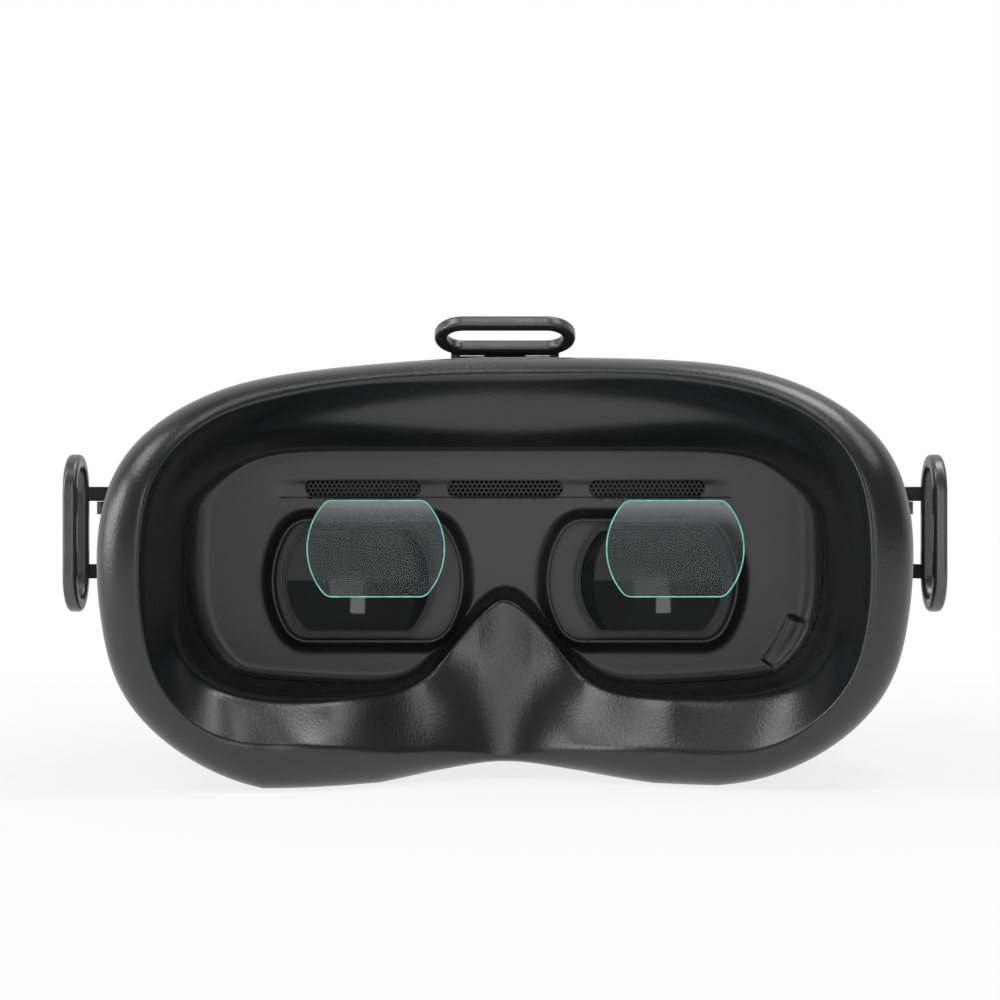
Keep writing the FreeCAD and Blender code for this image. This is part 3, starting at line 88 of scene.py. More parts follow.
SLOT_PITCH, SLOT, SLOT_Z = 34.0, (27.6, 3.8), 67.8
GROOVE_LENGTH, GROOVE_HEIGHT, GROOVE_DEPTH = 112.0, 4.6, 0.9
GROOVE_END, GROOVE_LEDGE, GROOVE_SLOPE = 9.0, 0.25, 1.8
VENT_PITCH, VENT_HOLE, VENT_THICK = 1.12, 0.43, 0.5
SHADE_SHEET_GAP, SHADE_SHEET_HALF = 0.06, 2.8
# curved step at the lower right of the plate: its middle, inner radius, sweep in degrees and rise, and
# the lengths of its inner edge, its ends (in degrees), its flat top and its outer slope
STEP_MIDDLE, STEP_R, STEP_SWEEP, STEP_RISE = (35.3, 49.3), 33.6, (-41.0, -19.0), 1.3
STEP_EDGE, STEP_ENDS, STEP_FLAT, STEP_SLOPE = 1.4, (1.1, 2.4), 2.5, 5.0

# The pad's soft forms. A pair named _X or _Z is a place and the length over which the form fades there.
ROLL, ROLL_SHARE = 8.5, 0.55                # the rolled edge's radius, and its limit as a share of the depth
OUTER_SWING = 1.35                          # how early the outer wall reaches its full outline
CHEEK_X, CHEEK_Z, CHEEK_SHARE = (-46, 20), (40, 20), 0.17
CREST_SWELLS, CREST_Z = [(6.3, -44, 17), (3.6, 40, 17)], (35, 15)
SETTLED_X, SETTLED_Z = 55, (30, 35)
SETTLED_LEFT, SETTLED_RIGHT = (-1.2, -1.8), (1.0, -0.9)     # shift of the upper and of the lower half
RIDGE, RIDGE_SIDE, RIDGE_X, RIDGE_Z, RIDGE_LIMIT = 1.5, 2.5, (55, 20), (30, 20), 0.3
LOWER_Z, CHEEKS_X = (45, 20), (8, 32)
NOSE_VALLEY, NOSE_WIDTH, NOSE_ROUND, NOSE_FORM = -4.2, 7.5, 1.0, 2.6
LIP_DEPTH, LIP_DEPTH_NOSE, LIP_OVER_FILLET = 3.0, 1.2, 2.2
# The cheeks' shoulder: how full it is and how far it reaches in. Of the wall's fall from crest to lip, an
# even share comes on the way, and powers of the way hold back the rest.
SHOULDER, SHOULDER_REACH, SHOULDER_EVEN, SHOULDER_POWER, REACH_POWER = 0.9, 0.4, 0.25, 20, 12
FOREHEAD_FOLD, FOREHEAD_Z = 0.45, (50, 16)

# Outlines of the right half, from top middle round to bottom middle: x as a share of half the width,
# z as a share of the height. CREST_DEPTH is the crest's distance from the pad's base, as a share of the
# greatest, and FILLET the radius between the plate and the basin's wall.
SILHOUETTE = [
    (0.000, 1.000), (0.329, 0.989), (0.578, 0.964), (0.747, 0.915), (0.874, 0.838), (0.960, 0.730),
    (0.998, 0.572), (0.987, 0.392), (0.944, 0.246), (0.840, 0.127), (0.683, 0.042), (0.513, 0.009),
    (0.354, 0.009), (0.192, 0.022), (0.077, 0.034), (0.000, 0.038),
]
CREST = [
    (0.000, 0.946), (0.325, 0.942), (0.558, 0.909), (0.703, 0.861), (0.799, 0.786), (0.855, 0.685),
    (0.875, 0.551), (0.872, 0.395), (0.835, 0.260), (0.742, 0.156), (0.613, 0.085), (0.478, 0.058),
    (0.337, 0.064), (0.190, 0.078), (0.077, 0.066), (0.000, 0.057),
]
CREST_DEPTH = [
    0.463, 0.524, 0.634, 0.756, 0.878, 0.976, 1.000, 0.976,
    0.915, 0.829, 0.756, 0.683, 0.561, 0.366, 0.220, 0.183,
]
LIP = [
    (0.000, 0.789), (0.337, 0.789), (0.583, 0.784), (0.713, 0.748), (0.795, 0.690), (0.829, 0.630),
    (0.838, 0.543), (0.838, 0.411), (0.810, 0.310), (0.752, 0.244), (0.670, 0.209), (0.531, 0.192),
    (0.324, 0.200), (0.194, 0.256), (0.077, 0.373), (0.000, 0.423),
]
PLATE_EDGE = [
    (0.000, 0.786), (0.337, 0.786), (0.583, 0.780), (0.707, 0.744), (0.791, 0.684), (0.822, 0.635),
    (0.831, 0.542), (0.827, 0.418), (0.790, 0.321), (0.735, 0.261), (0.670, 0.234), (0.528, 0.223),
    (0.327, 0.220), (0.206, 0.267), (0.082, 0.400), (0.000, 0.448),
]
FILLET = [1.0, 1.0, 1.0, 1.6, 3.0, 4.5, 5.0, 5.0, 4.4, 3.6, 3.2, 3.2, 2.8, 1.6, 1.2, 1.2]
HOUSING = [
    (0.000, 1.000), (0.329, 0.989), (0.570, 0.960), (0.742, 0.905), (0.868, 0.822), (0.958, 0.700),
    (1.000, 0.540), (0.985, 0.370), (0.930, 0.222), (0.830, 0.105), (0.700, 0.025), (0.560, 0.000),
    (0.400, 0.000), (0.250, 0.000), (0.120, 0.000), (0.000, 0.000),
]

# Points round the pad and round the plate, and the rows of each part of the pad's loft.
AROUND, AROUND_PLATE = 720, 520
WALL_ROWS, ROLL_ROWS, RIDGE_ROWS, INNER_ROWS, LIP_ROWS = 12, 24, 9, 36, 8
INNER_CROWDING, INNER_STOP = 2.2, 0.7       # how the inner wall's rows crowd to the lip, and its least reach
# Distances, from the edge named, of the rows of points that the plate's mesh is drawn through.
FILLET_STEPS = (0.2, 0.45, 0.8, 1.2, 1.7, 2.3, 3.0, 3.8, 4.7)
COLLAR_STEPS = (0.06, 0.14, 0.24, 0.35, 0.5, 0.65, 0.85, 1.1, 1.35, 1.6, 1.85, 2.1, 2.35, 2.6, 2.85, 3.1,
                3.4, 3.9, 4.6)
SLOT_STEPS = (0.15, 0.35)
LEDGE_STEPS = (-0.3, 0.0, 0.12, 0.25, 0.5)
STEP_STEPS = (-0.3, 0.0, 0.12, 0.25, 0.38, 0.5, 0.8, 1.5, 2.5, 3.5, 4.2, 4.8, 5.4, 6.0, 6.6, 7.2)
ROW_STEP, ARC_STEP, GRID = 0.6, 0.4, 1.6        # along the groove, in degrees along the step, and between
GRID_X, GRID_Z, GRID_SHIFT = (-76, 76.1), (20, 80), (0.37, 0.21)
CLEAR_OF_FLOOR_EDGE, CLEAR_OF_HOLES = 0.08, 0.05


# ---------------------------------------------------------------- curves and meshes
def sized(half, width, top, bottom=0.0):
    """Whole ring of (x, z) rows from the shares of its right half."""
    pts = np.array([(x * width / 2, bottom + z * (top - bottom)) for x, z in half])
    left = pts[-2:0:-1] * (-1, 1)
    return np.vstack([pts, left])


def spline_weights(count, n):
    """Matrix that evaluates a closed cubic spline of n control rows at count even steps."""
    w = np.zeros((count, n))
    for k in range(count):
        u = k * n / count
        i, t = int(u), u - int(u)
        basis = ((1 - t) ** 3, 3 * t ** 3 - 6 * t * t + 4, -3 * t ** 3 + 3 * t * t + 3 * t + 1, t ** 3)
        for j, b in enumerate(basis):
            w[k, (i + j - 1) % n] += b / 6
    return w


def smooth_ring(rows, count):
    """Closed smooth curve that passes very near the rows."""
    rows = np.asarray(rows, float)
    if rows.ndim == 1:
        rows = rows[:, None]
    poles = rows.copy()
    for _ in range(2):
        reached = (np.roll(poles, 1, 0) + 4 * poles + np.roll(poles, -1, 0)) / 6
        poles = poles + rows - reached
    return spline_weights(count, len(rows)) @ poles


def smooth_step(t):
    """Rises smoothly from 0 to 1 as t does."""
    t = np.clip(t, 0, 1)
    return t * t * (3 - 2 * t)


def swell(x, middle, width):
    """A soft hill of height 1 along x."""
    return np.exp(-((x - middle) / width) ** 2)


def bezier(a, b, c, t):
    return a * (1 - t) ** 2 + b * 2 * t * (1 - t) + c * t * t


def soft_max(a, b, k=0.35):
    """The larger of two values, with their crossing rounded over k."""
    h = np.clip(0.5 + 0.5 * (a - b) / k, 0, 1)
    return b + (a - b) * h + k * h * (1 - h)


def offset_ring(ring, by):
    """Closed ring of (x, z) rows, clockwise from -Y, moved outwards."""
    d = np.roll(ring, -1, 0) - np.roll(ring, 1, 0)
    d /= np.linalg.norm(d, axis=1)[:, None]
    return ring + np.stack([-d[:, 1], d[:, 0]], 1) * by


def make_object(name, verts, faces, smooth=True, sharp=None):
    """Object from points in millimetres, with edges sharper than an angle in degrees kept crisp."""
    mesh = bpy.data.meshes.new(name)
    mesh.from_pydata([tuple(v) for v in np.asarray(verts) * MM], [],
                     [tuple(int(i) for i in f) for f in faces])
    mesh.validate()
    obj = bpy.data.objects.new(name, mesh)
    scene.collection.objects.link(obj)
    if smooth:
        mesh.shade_smooth()
    if sharp is not None:
        mesh.set_sharp_from_angle(angle=math.radians(sharp))
    return obj


def tube_faces(rows, columns, closed_rows=False):
    """Quads between rings of points: as many rings as rows, each with as many points as columns."""
    faces = []
    last = rows if closed_rows else rows - 1
    for i in range(last):
        a, b = i * columns, ((i + 1) % rows) * columns
        for j in range(columns):
            k = (j + 1) % columns
            faces.append((a + j, a + k, b + k, b + j))
    return faces


def lofted(name, rings, closed=False, sharp=None, caps=False):
    """Object through rings of equal length; each ring is rows of (x, y, z)."""
    rings = [np.asarray(r, float) for r in rings]
    columns = len(rings[0])
    faces = tube_faces(len(rings), columns, closed)
    if caps:
        faces.append(tuple(range(columns - 1, -1, -1)))
        faces.append(tuple(range((len(rings) - 1) * columns, len(rings) * columns)))
    return make_object(name, np.vstack(rings), faces, sharp=sharp)


def at_depth(ring, y):
    """Rows of (x, z) as rows of (x, y, z)."""
    ring = np.asarray(ring)
    return np.stack([ring[:, 0], np.broadcast_to(y, len(ring)), ring[:, 1]], 1)


def eye_outline(size, corner, x, z, count=240):
    """A circle cut off flat above and below, with rounded corners, as even rows clockwise from the top."""
    w, h = size
    r, half = w / 2, h / 2
    # the corner's circle touches the flat and the big circle from inside
    cz = half - corner
    cx = math.sqrt(max((r - corner) ** 2 - cz ** 2, 0.0))
    lean = math.atan2(cz, cx)
    pts = []
    for a in np.linspace(math.pi / 2, lean, 14):
        pts.append((cx + corner * math.cos(a), cz + corner * math.sin(a)))
    for a in np.linspace(lean, 0, 24)[1:]:
        pts.append((r * math.cos(a), r * math.sin(a)))
    quarter = np.array(pts)
    ring = np.vstack([quarter, quarter[-2::-1] * (1, -1), quarter * (-1, -1),
                      quarter[-2::-1] * (-1, 1)])
    return even(ring + (x, z), count)


def pill_outline(length, height, x, z, count=120):
    """A bar with round ends, as even rows."""
    r = height / 2
    pts = []
    for a in np.linspace(math.pi / 2, -math.pi / 2, 17):
        pts.append((length / 2 - r + r * math.cos(a), r * math.sin(a)))
    right = np.array(pts)
    return even(np.vstack([right, right * (-1, -1)]) + (x, z), count)


def even(ring, count):
    """The closed ring at even steps of its length."""
    closed = np.vstack([ring, ring[:1]])
    steps = np.linalg.norm(np.diff(closed, axis=0), axis=1)
    keep = np.concatenate([[True], steps > 1e-9])
    closed = closed[keep]
    run = np.concatenate([[0], np.cumsum(np.linalg.norm(np.diff(closed, axis=0), axis=1))])
    at = np.linspace(0, run[-1], count, endpoint=False)
    return np.stack([np.interp(at, run, closed[:, c]) for c in range(closed.shape[1])], 1)


def ring_distance(points, ring):
    """Signed distance of (x, z) points to a closed ring, negative inside, and the nearest step."""
    best = np.full(len(points), 1e9)
    near = np.zeros(len(points), int)
    inside = np.zeros(len(points), bool)
    for i in range(len(ring)):
        a, b = ring[i], ring[(i + 1) % len(ring)]
        ab = b - a
        t = np.clip(((points - a) @ ab) / max(ab @ ab, 1e-12), 0, 1)
        d = np.linalg.norm(points - a - t[:, None] * ab, axis=1)
        closer = d < best
        best[closer], near[closer] = d[closer], i
        crosses = (a[1] > points[:, 1]) != (b[1] > points[:, 1])
        if crosses.any() and abs(ab[1]) > 1e-12:
            x = a[0] + (points[:, 1] - a[1]) / ab[1] * ab[0]
            inside ^= crosses & (points[:, 0] < x)
    return np.where(inside, -best, best), near


# ---------------------------------------------------------------- materials
def material(name):
    """New material with its nodes, links and shader."""
    m = bpy.data.materials.new(name)
    m.use_nodes = True
    return m, m.node_tree.nodes, m.node_tree.links, m.node_tree.nodes["Principled BSDF"]


def add_node(tree_nodes, kind, **values):
    """New node with its inputs, and else its own settings, set by name."""
    n = tree_nodes.new(kind)
    for key, value in values.items():
        if key in n.inputs:
            n.inputs[key].default_value = value
        else:
            setattr(n, key, value)
    return n


def ramp(tree_nodes, links, source, low, high, start=0.0, end=1.0):
    """Maps a value from start..end to low..high."""
    n = tree_nodes.new("ShaderNodeMapRange")
    n.inputs["From Min"].default_value = start
    n.inputs["From Max"].default_value = end
    n.inputs["To Min"].default_value = low
    n.inputs["To Max"].default_value = high
    links.new(source, n.inputs["Value"])
    return n.outputs["Result"]


NOISE_RANGE = (0.2, 0.8)        # what a noise of little detail reaches
CELL_BEND, CELL_SHIFT = 2.5, 0.0012
BUMP_DEPTH = 0.0001


def surface(name, color, rough, grain=0.0, grain_size=0.4, mottle=0.12, mottle_size=9.0, metallic=0.0,
            specular=0.5, coat=0.0, coat_rough=0.2, cells=0.0, cell_size=0.8, rough_spread=0.06):
    """Moulded, painted or metal finish, with sizes in millimetres.

    Its colour and roughness vary softly, and its face has a fine grain or, for leather, raised cells.
    """
    m, tn, links, bsdf = material(name)
    where = add_node(tn, "ShaderNodeTexCoord")
    bsdf.inputs["Metallic"].default_value = metallic
    bsdf.inputs["Specular IOR Level"].default_value = specular
    bsdf.inputs["Coat Weight"].default_value = coat
    bsdf.inputs["Coat Roughness"].default_value = coat_rough
    broad = add_node(tn, "ShaderNodeTexNoise", Scale=1000.0 / mottle_size, Detail=1.0)
    links.new(where.outputs["Object"], broad.inputs["Vector"])
    mix = add_node(tn, "ShaderNodeMix", data_type="RGBA")
    mix.inputs["A"].default_value = tuple(c * (1 - mottle) for c in color) + (1,)
    mix.inputs["B"].default_value = tuple(c * (1 + mottle) for c in color) + (1,)
    links.new(ramp(tn, links, broad.outputs["Fac"], 0, 1, *NOISE_RANGE), mix.inputs["Factor"])
    links.new(mix.outputs["Result"], bsdf.inputs["Base Color"])
    fine = add_node(tn, "ShaderNodeTexNoise", Scale=1000.0 / grain_size, Detail=3.0)
    links.new(where.outputs["Object"], fine.inputs["Vector"])
    roughness = ramp(tn, links, broad.outputs["Fac"], rough - rough_spread, rough + rough_spread,
                     *NOISE_RANGE)
    links.new(roughness, bsdf.inputs["Roughness"])
    height, strength = fine.outputs["Fac"], grain
    if cells:
        cell = add_node(tn, "ShaderNodeTexVoronoi", Scale=1000.0 / cell_size)
        bend = add_node(tn, "ShaderNodeTexNoise", Scale=1000.0 / (cell_size * CELL_BEND), Detail=2.0)
        links.new(where.outputs["Object"], bend.inputs["Vector"])
        shift = add_node(tn, "ShaderNodeMixRGB", blend_type="ADD", Fac=CELL_SHIFT)
        links.new(where.outputs["Object"], shift.inputs["Color1"])
        links.new(bend.outputs["Color"], shift.inputs["Color2"])
        links.new(shift.outputs["Color"], cell.inputs["Vector"])
        both = add_node(tn, "ShaderNodeMath", operation="ADD")
        links.new(ramp(tn, links, cell.outputs["Distance"], 0.0, 1.0, 0.0, 0.8), both.inputs[0])
        links.new(ramp(tn, links, fine.outputs["Fac"], 0.0, 0.35), both.inputs[1])
        height, strength = both.outputs["Value"], cells
    if strength:
        bump = add_node(tn, "ShaderNodeBump", Strength=strength, Distance=BUMP_DEPTH)
        links.new(height, bump.inputs["Height"])
        links.new(bump.outputs["Normal"], bsdf.inputs["Normal"])
    return m


def film_material_with_painted_sheen():
    """Tinted glass, with a painted reflection: paler and more opaque towards its top edge, where its colour
    stands in for the light it reflects.
    """
    m, tn, links, bsdf = material("film_glass")
    where = add_node(tn, "ShaderNodeTexCoord")
    split = add_node(tn, "ShaderNodeSeparateXYZ")
    links.new(where.outputs["Object"], split.inputs["Vector"])
    low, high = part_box("left_lens_film")
    height = ramp(tn, links, split.outputs["Z"], 0, 1, low[2], high[2])
    haze = add_node(tn, "ShaderNodeTexNoise", Scale=60.0, Detail=3.0)
    links.new(where.outputs["Object"], haze.inputs["Vector"])
    # painted reflection: the colour rises from dark teal below to pale at the top edge
    tint_and_painted_sheen = add_node(tn, "ShaderNodeValToRGB")
    links.new(height, tint_and_painted_sheen.inputs["Fac"])
    stops = tint_and_painted_sheen.color_ramp.elements
    stops[0].position, stops[0].color = 0.0, (0.032, 0.060, 0.056, 1)
    stops[1].position, stops[1].color = 1.0, (0.62, 0.68, 0.68, 1)
    middle = stops.new(0.72)
    middle.color = (0.052, 0.085, 0.080, 1)
    links.new(tint_and_painted_sheen.outputs["Color"], bsdf.inputs["Base Color"])
    # painted reflection: the glass is more opaque where its colour is pale
    cover = add_node(tn, "ShaderNodeMath", operation="ADD")
    links.new(ramp(tn, links, height, 0.16, 0.30, 0.5, 1.0), cover.inputs[0])
    links.new(ramp(tn, links, haze.outputs["Fac"], -0.02, 0.02, 0.3, 0.7), cover.inputs[1])
    links.new(cover.outputs["Value"], bsdf.inputs["Alpha"])
    bsdf.inputs["Roughness"].default_value = 0.04
    bsdf.inputs["IOR"].default_value = 1.5
    return m


def edge_material_with_painted_glow():
    """Ground glass edge in blue-green, with a painted glow: it emits its own colour, though it is no lamp.
    """
    m, tn, links, bsdf = material("film_edge_painted_glow")
    where = add_node(tn, "ShaderNodeTexCoord")
    grain = add_node(tn, "ShaderNodeTexNoise", Scale=400.0, Detail=2.0)
    links.new(where.outputs["Object"], grain.inputs["Vector"])
    mix = add_node(tn, "ShaderNodeMix", data_type="RGBA")
    mix.inputs["A"].default_value = (0.10, 0.52, 0.43, 1)
    mix.inputs["B"].default_value = (0.22, 0.70, 0.60, 1)
    links.new(ramp(tn, links, grain.outputs["Fac"], 0, 1, 0.35, 0.65), mix.inputs["Factor"])
    links.new(mix.outputs["Result"], bsdf.inputs["Base Color"])
    # painted glow: the edge's colour is also emitted
    links.new(mix.outputs["Result"], bsdf.inputs["Emission Color"])
    bsdf.inputs["Emission Strength"].default_value = 0.35
    bsdf.inputs["Roughness"].default_value = 0.3
    return m


# each finish: base colour, roughness, and the other settings of its surface
FINISHES = {
    "pad_leather": ((0.0105, 0.0105, 0.0113), 0.28, dict(
        grain_size=0.25, cells=0.18, cell_size=0.75, specular=0.7, mottle=0.10, mottle_size=14,
        rough_spread=0.02)),
    "shell_plastic": ((0.020, 0.020, 0.021), 0.48, dict(grain=0.25, grain_size=0.35)),
    "inner_plastic": ((0.0180, 0.0177, 0.0190), 0.38, dict(
        grain=0.06, grain_size=0.5, specular=0.7, mottle=0.08, mottle_size=18, rough_spread=0.02)),
    "cover_plastic": ((0.026, 0.026, 0.027), 0.42, dict(grain=0.2, grain_size=0.3)),
    "visor_plastic": ((0.006, 0.006, 0.007), 0.10, dict(
        coat=0.6, coat_rough=0.05, mottle=0.05, rough_spread=0.02)),
    "grille_plastic": ((0.014, 0.014, 0.015), 0.45, dict(grain=0.15)),
    "display_panel": ((0.006, 0.006, 0.008), 0.12, dict(mottle=0.05, rough_spread=0.02)),
    "loop_metal": ((0.115, 0.112, 0.115), 0.30, dict(
        grain=0.12, grain_size=0.12, metallic=0.75, mottle=0.06, mottle_size=5)),
    "pin_steel": ((0.62, 0.62, 0.64), 0.22, dict(grain=0.05, metallic=1.0, mottle=0.04)),
    "rod_steel": ((0.60, 0.60, 0.62), 0.20, dict(grain=0.03, metallic=1.0, mottle=0.04)),
    "mesh_metal": ((0.030, 0.030, 0.031), 0.40, dict(grain=0.1, metallic=0.5)),
    "screw_steel": ((0.25, 0.25, 0.26), 0.35, dict(grain=0.1, metallic=1.0)),
    "board_laminate": ((0.010, 0.075, 0.035), 0.35, dict(grain=0.1, mottle=0.25, mottle_size=3)),
    "sink_aluminium": ((0.55, 0.56, 0.57), 0.35, dict(grain=0.1, metallic=1.0)),
    "fan_plastic": ((0.012, 0.012, 0.013), 0.40, dict(grain=0.1)),
    "button_rubber": ((0.030, 0.030, 0.031), 0.60, dict(grain=0.3, grain_size=0.2)),
    "socket_metal": ((0.50, 0.50, 0.51), 0.28, dict(grain=0.06, metallic=1.0)),
    "antenna_brass": ((0.78, 0.58, 0.25), 0.26, dict(grain=0.08, metallic=1.0)),
    "socket_plastic": ((0.014, 0.014, 0.015), 0.42, dict(grain=0.1)),
    "lens_glass": ((0.019, 0.0215, 0.0198), 0.05, dict(mottle=0.3, mottle_size=20, rough_spread=0.01)),
}
finish = {name: surface(name, color, rough, **other) for name, (color, rough, other) in FINISHES.items()}
finish["film_glass"] = film_material_with_painted_sheen()
film_edge_painted_glow = edge_material_with_painted_glow()
slots = {s["node"]: s["material_slot"] for s in frame["record"]["subparts"]}
for name, obj in nodes.items():
    obj.data.materials.clear()
    obj.data.materials.append(finish[slots[name]])


def bodied(obj, body, slot):
    """Gives a new piece the finish of a slot, and its body."""
    obj.data.materials.append(finish[slot])
    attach(obj, body)
    return obj


# ---------------------------------------------------------------- face pad
def pad_outlines():
    """Smooth outlines of the pad from its base to the plate, and the depth of its crest."""
    base = sized(HOUSING, HOUSING_WIDTH * HOUSING_REAR_SHARE - 2 * FIT,
                 HOUSING_TOP - HOUSING_REAR_DROP - FIT, 2 * FIT)
    radius = (NOSE_HALF ** 2 + NOSE_RISE ** 2) / (2 * NOSE_RISE)
    reach = np.minimum(np.abs(base[:, 0]), NOSE_HALF)
    rise = np.maximum(0, NOSE_RISE - radius + np.sqrt(radius ** 2 - reach ** 2))
    base[:, 1] = np.maximum(base[:, 1], rise + 2 * FIT)
    lip = sized(LIP, PAD_WIDTH, PAD_TOP)
    plate = sized(PLATE_EDGE, PAD_WIDTH, PAD_TOP)
    inner = lip + (plate - lip) * LIP_SHARE
    depth = np.array(CREST_DEPTH + CREST_DEPTH[-2:0:-1]) * (PAD_BASE_Y - REAR_Y)
    rings = [base, sized(SILHOUETTE, PAD_WIDTH, PAD_TOP), sized(CREST, PAD_WIDTH, PAD_TOP), lip, inner,
             plate]
    base, outer, crest, lip, inner, plate = [smooth_ring(r, AROUND) for r in rings]
    depth = smooth_ring(depth, AROUND)[:, 0]
    cheek = swell(outer[:, 0], *CHEEK_X) * smooth_step((CHEEK_Z[0] - outer[:, 1]) / CHEEK_Z[1])
    lift = sum(height * swell(crest[:, 0], middle, width) for height, middle, width in CREST_SWELLS)
    outer, crest = settled(outer), settled(crest)
    crest[:, 1] += lift * smooth_step((CREST_Z[0] - crest[:, 1]) / CREST_Z[1])
    return base, outer, crest, lip, inner, plate, depth * (1 + CHEEK_SHARE * cheek)


def settled(ring):
    """A ring of the pad moved as the foam sits, a little askew: left side lower, right side fuller."""
    out = ring.copy()
    away = smooth_step(np.abs(ring[:, 0]) / SETTLED_X)
    upper = smooth_step((ring[:, 1] - SETTLED_Z[0]) / SETTLED_Z[1])
    left, right = [above * upper + below * (1 - upper) for above, below in (SETTLED_LEFT, SETTLED_RIGHT)]
    out[:, 1] += away * np.where(ring[:, 0] < 0, left, right)
    out[:, 1] = np.maximum(out[:, 1], FIT)
    return out


base_ring, outer_ring, crest_ring, lip_ring, inner_ring, plate_ring, pad_depth = pad_outlines()

# weights along the inner edge: the lower half, and in it the cheeks
lower = smooth_step((LOWER_Z[0] - lip_ring[:, 1]) / LOWER_Z[1])
cheeks = smooth_step((np.abs(lip_ring[:, 0]) - CHEEKS_X[0]) / CHEEKS_X[1]) * lower
fillet_all = smooth_ring(np.array(FILLET + FILLET[-2:0:-1]), AROUND)[:, 0]
lip_depth = np.maximum(LIP_DEPTH + LIP_DEPTH_NOSE * lower * (1 - cheeks), fillet_all + LIP_OVER_FILLET)
# the foam's inner wall: hollow along the forehead, full along the cheeks, and folded over the nose
nose_valley = NOSE_VALLEY * np.exp(-np.hypot(lip_ring[:, 0], NOSE_ROUND) / NOSE_WIDTH) * lower
cheek_shoulder = SHOULDER * cheeks
forehead_fold = FOREHEAD_FOLD * smooth_step((lip_ring[:, 1] - FOREHEAD_Z[0]) / FOREHEAD_Z[1])
ridge_width = RIDGE + (RIDGE_SIDE * smooth_step((np.abs(crest_ring[:, 0]) - RIDGE_X[0]) / RIDGE_X[1])
                       * smooth_step((crest_ring[:, 1] - RIDGE_Z[0]) / RIDGE_Z[1]))


def wall_point(share, fall, depth):
    """Ring and depth at a share of the inner wall, from the crest to the lip."""
    across = share * (1 + SHOULDER_REACH * cheek_shoulder * (1 - share ** REACH_POWER))
    ring = crest_ring + (lip_ring - crest_ring) * across[:, None]
    fold = forehead_fold * np.sin(2 * math.pi * share) / (2 * math.pi)
    held_back = SHOULDER_EVEN * share + (1 - SHOULDER_EVEN) * share ** SHOULDER_POWER
    shoulder = cheek_shoulder * (held_back - share)
    valley = NOSE_FORM * share * np.sqrt(np.maximum(1 - share, 0)) * nose_valley
    return ring, depth - fall * (share + fold + shoulder) + valley


def pad_rings():
    """Rings over the pad: outer wall, rolled edge, crisp inner ridge, inner wall and rounded lip."""
    depth = pad_depth
    roll = np.minimum(ROLL, ROLL_SHARE * depth)
    rows = []

    def put(ring, down):
        rows.append(at_depth(ring, PAD_BASE_Y - down))

    for t in np.linspace(0, 1, WALL_ROWS):
        put(base_ring + (outer_ring - base_ring) * min(1.0, t * OUTER_SWING), (depth - roll) * t)
    for a in np.linspace(0, math.pi / 2, ROLL_ROWS)[1:-2]:
        rolled = outer_ring + (crest_ring - outer_ring) * (1 - math.cos(a))
        rolled_down = depth - roll * (1 - math.sin(a))
        put(rolled, rolled_down)
    # inner ridge, rounded between the roll and the inner wall
    fall = depth - lip_depth
    length = np.sqrt(np.linalg.norm(lip_ring - crest_ring, axis=1) ** 2 + fall ** 2)
    share = np.minimum(ridge_width / length, RIDGE_LIMIT)
    wall_start, wall_start_down = wall_point(share, fall, depth)
    for t in np.linspace(0, 1, RIDGE_ROWS)[1:]:
        put(bezier(rolled, crest_ring, wall_start, t), bezier(rolled_down, depth, wall_start_down, t))
    # inner wall, with its rows closest together near the lip
    stop = np.maximum(1 - LIP_EDGE / length, INNER_STOP)
    for t in np.linspace(0, 1, INNER_ROWS)[1:]:
        put(*wall_point(share + (stop - share) * (1 - (1 - t) ** INNER_CROWDING), fall, depth))
    # lip, rounded over towards the plate
    wall_end, wall_end_down = wall_point(stop, fall, depth)
    gap = np.maximum(np.linalg.norm(inner_ring - lip_ring, axis=1), 1e-6)
    reach = np.minimum(0.5, LIP_EDGE / gap * 0.5)[:, None]
    into = lip_ring + (inner_ring - lip_ring) * reach
    for t in np.linspace(0, 1, LIP_ROWS)[1:]:
        put(bezier(wall_end, lip_ring, into, t), bezier(wall_end_down, lip_depth, lip_depth - LIP_EDGE, t))
    put(inner_ring, 0.0)
    return rows


pad = lofted("face_pad_skin", pad_rings(), closed=True, sharp=60)
bodied(pad, "housing", "pad_leather")
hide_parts("face_pad")


# ---------------------------------------------------------------- rear shell: basin, plate and collars
openings = [offset_ring(eye_outline(OPENING, OPENING_CORNER, s * OPENING_X, EYE_Z), -OPENING_PLAY)
            for s in (-1, 1)]
slot_rings = [pill_outline(*SLOT, i * SLOT_PITCH, SLOT_Z) for i in (-1, 0, 1)]
holes = openings + slot_rings
floor_ring = even(plate_ring, AROUND_PLATE)
_, nearest = ring_distance(floor_ring, plate_ring)
fillet_radius = fillet_all[nearest]


def collar_height(d):
    """Rise of an eye opening's collar at a distance outside its edge."""
    t = np.clip(d, 0, COLLAR_EDGE) / COLLAR_EDGE
    edge = COLLAR_RISE - COLLAR_EDGE * (1 - np.sqrt(np.clip(1 - (1 - t) ** 2, 0, 1)))
    t = np.clip((d - COLLAR_RIM) / COLLAR_FOOT, 0, 1)
    crown = np.clip((d - COLLAR_EDGE) / (COLLAR_RIM - COLLAR_EDGE), 0, 1)
    fall = (COLLAR_RISE - COLLAR_CROWN) * (1 - t) ** COLLAR_FALL
    return np.where(d < COLLAR_RIM, edge - COLLAR_CROWN * crown ** 2, fall)


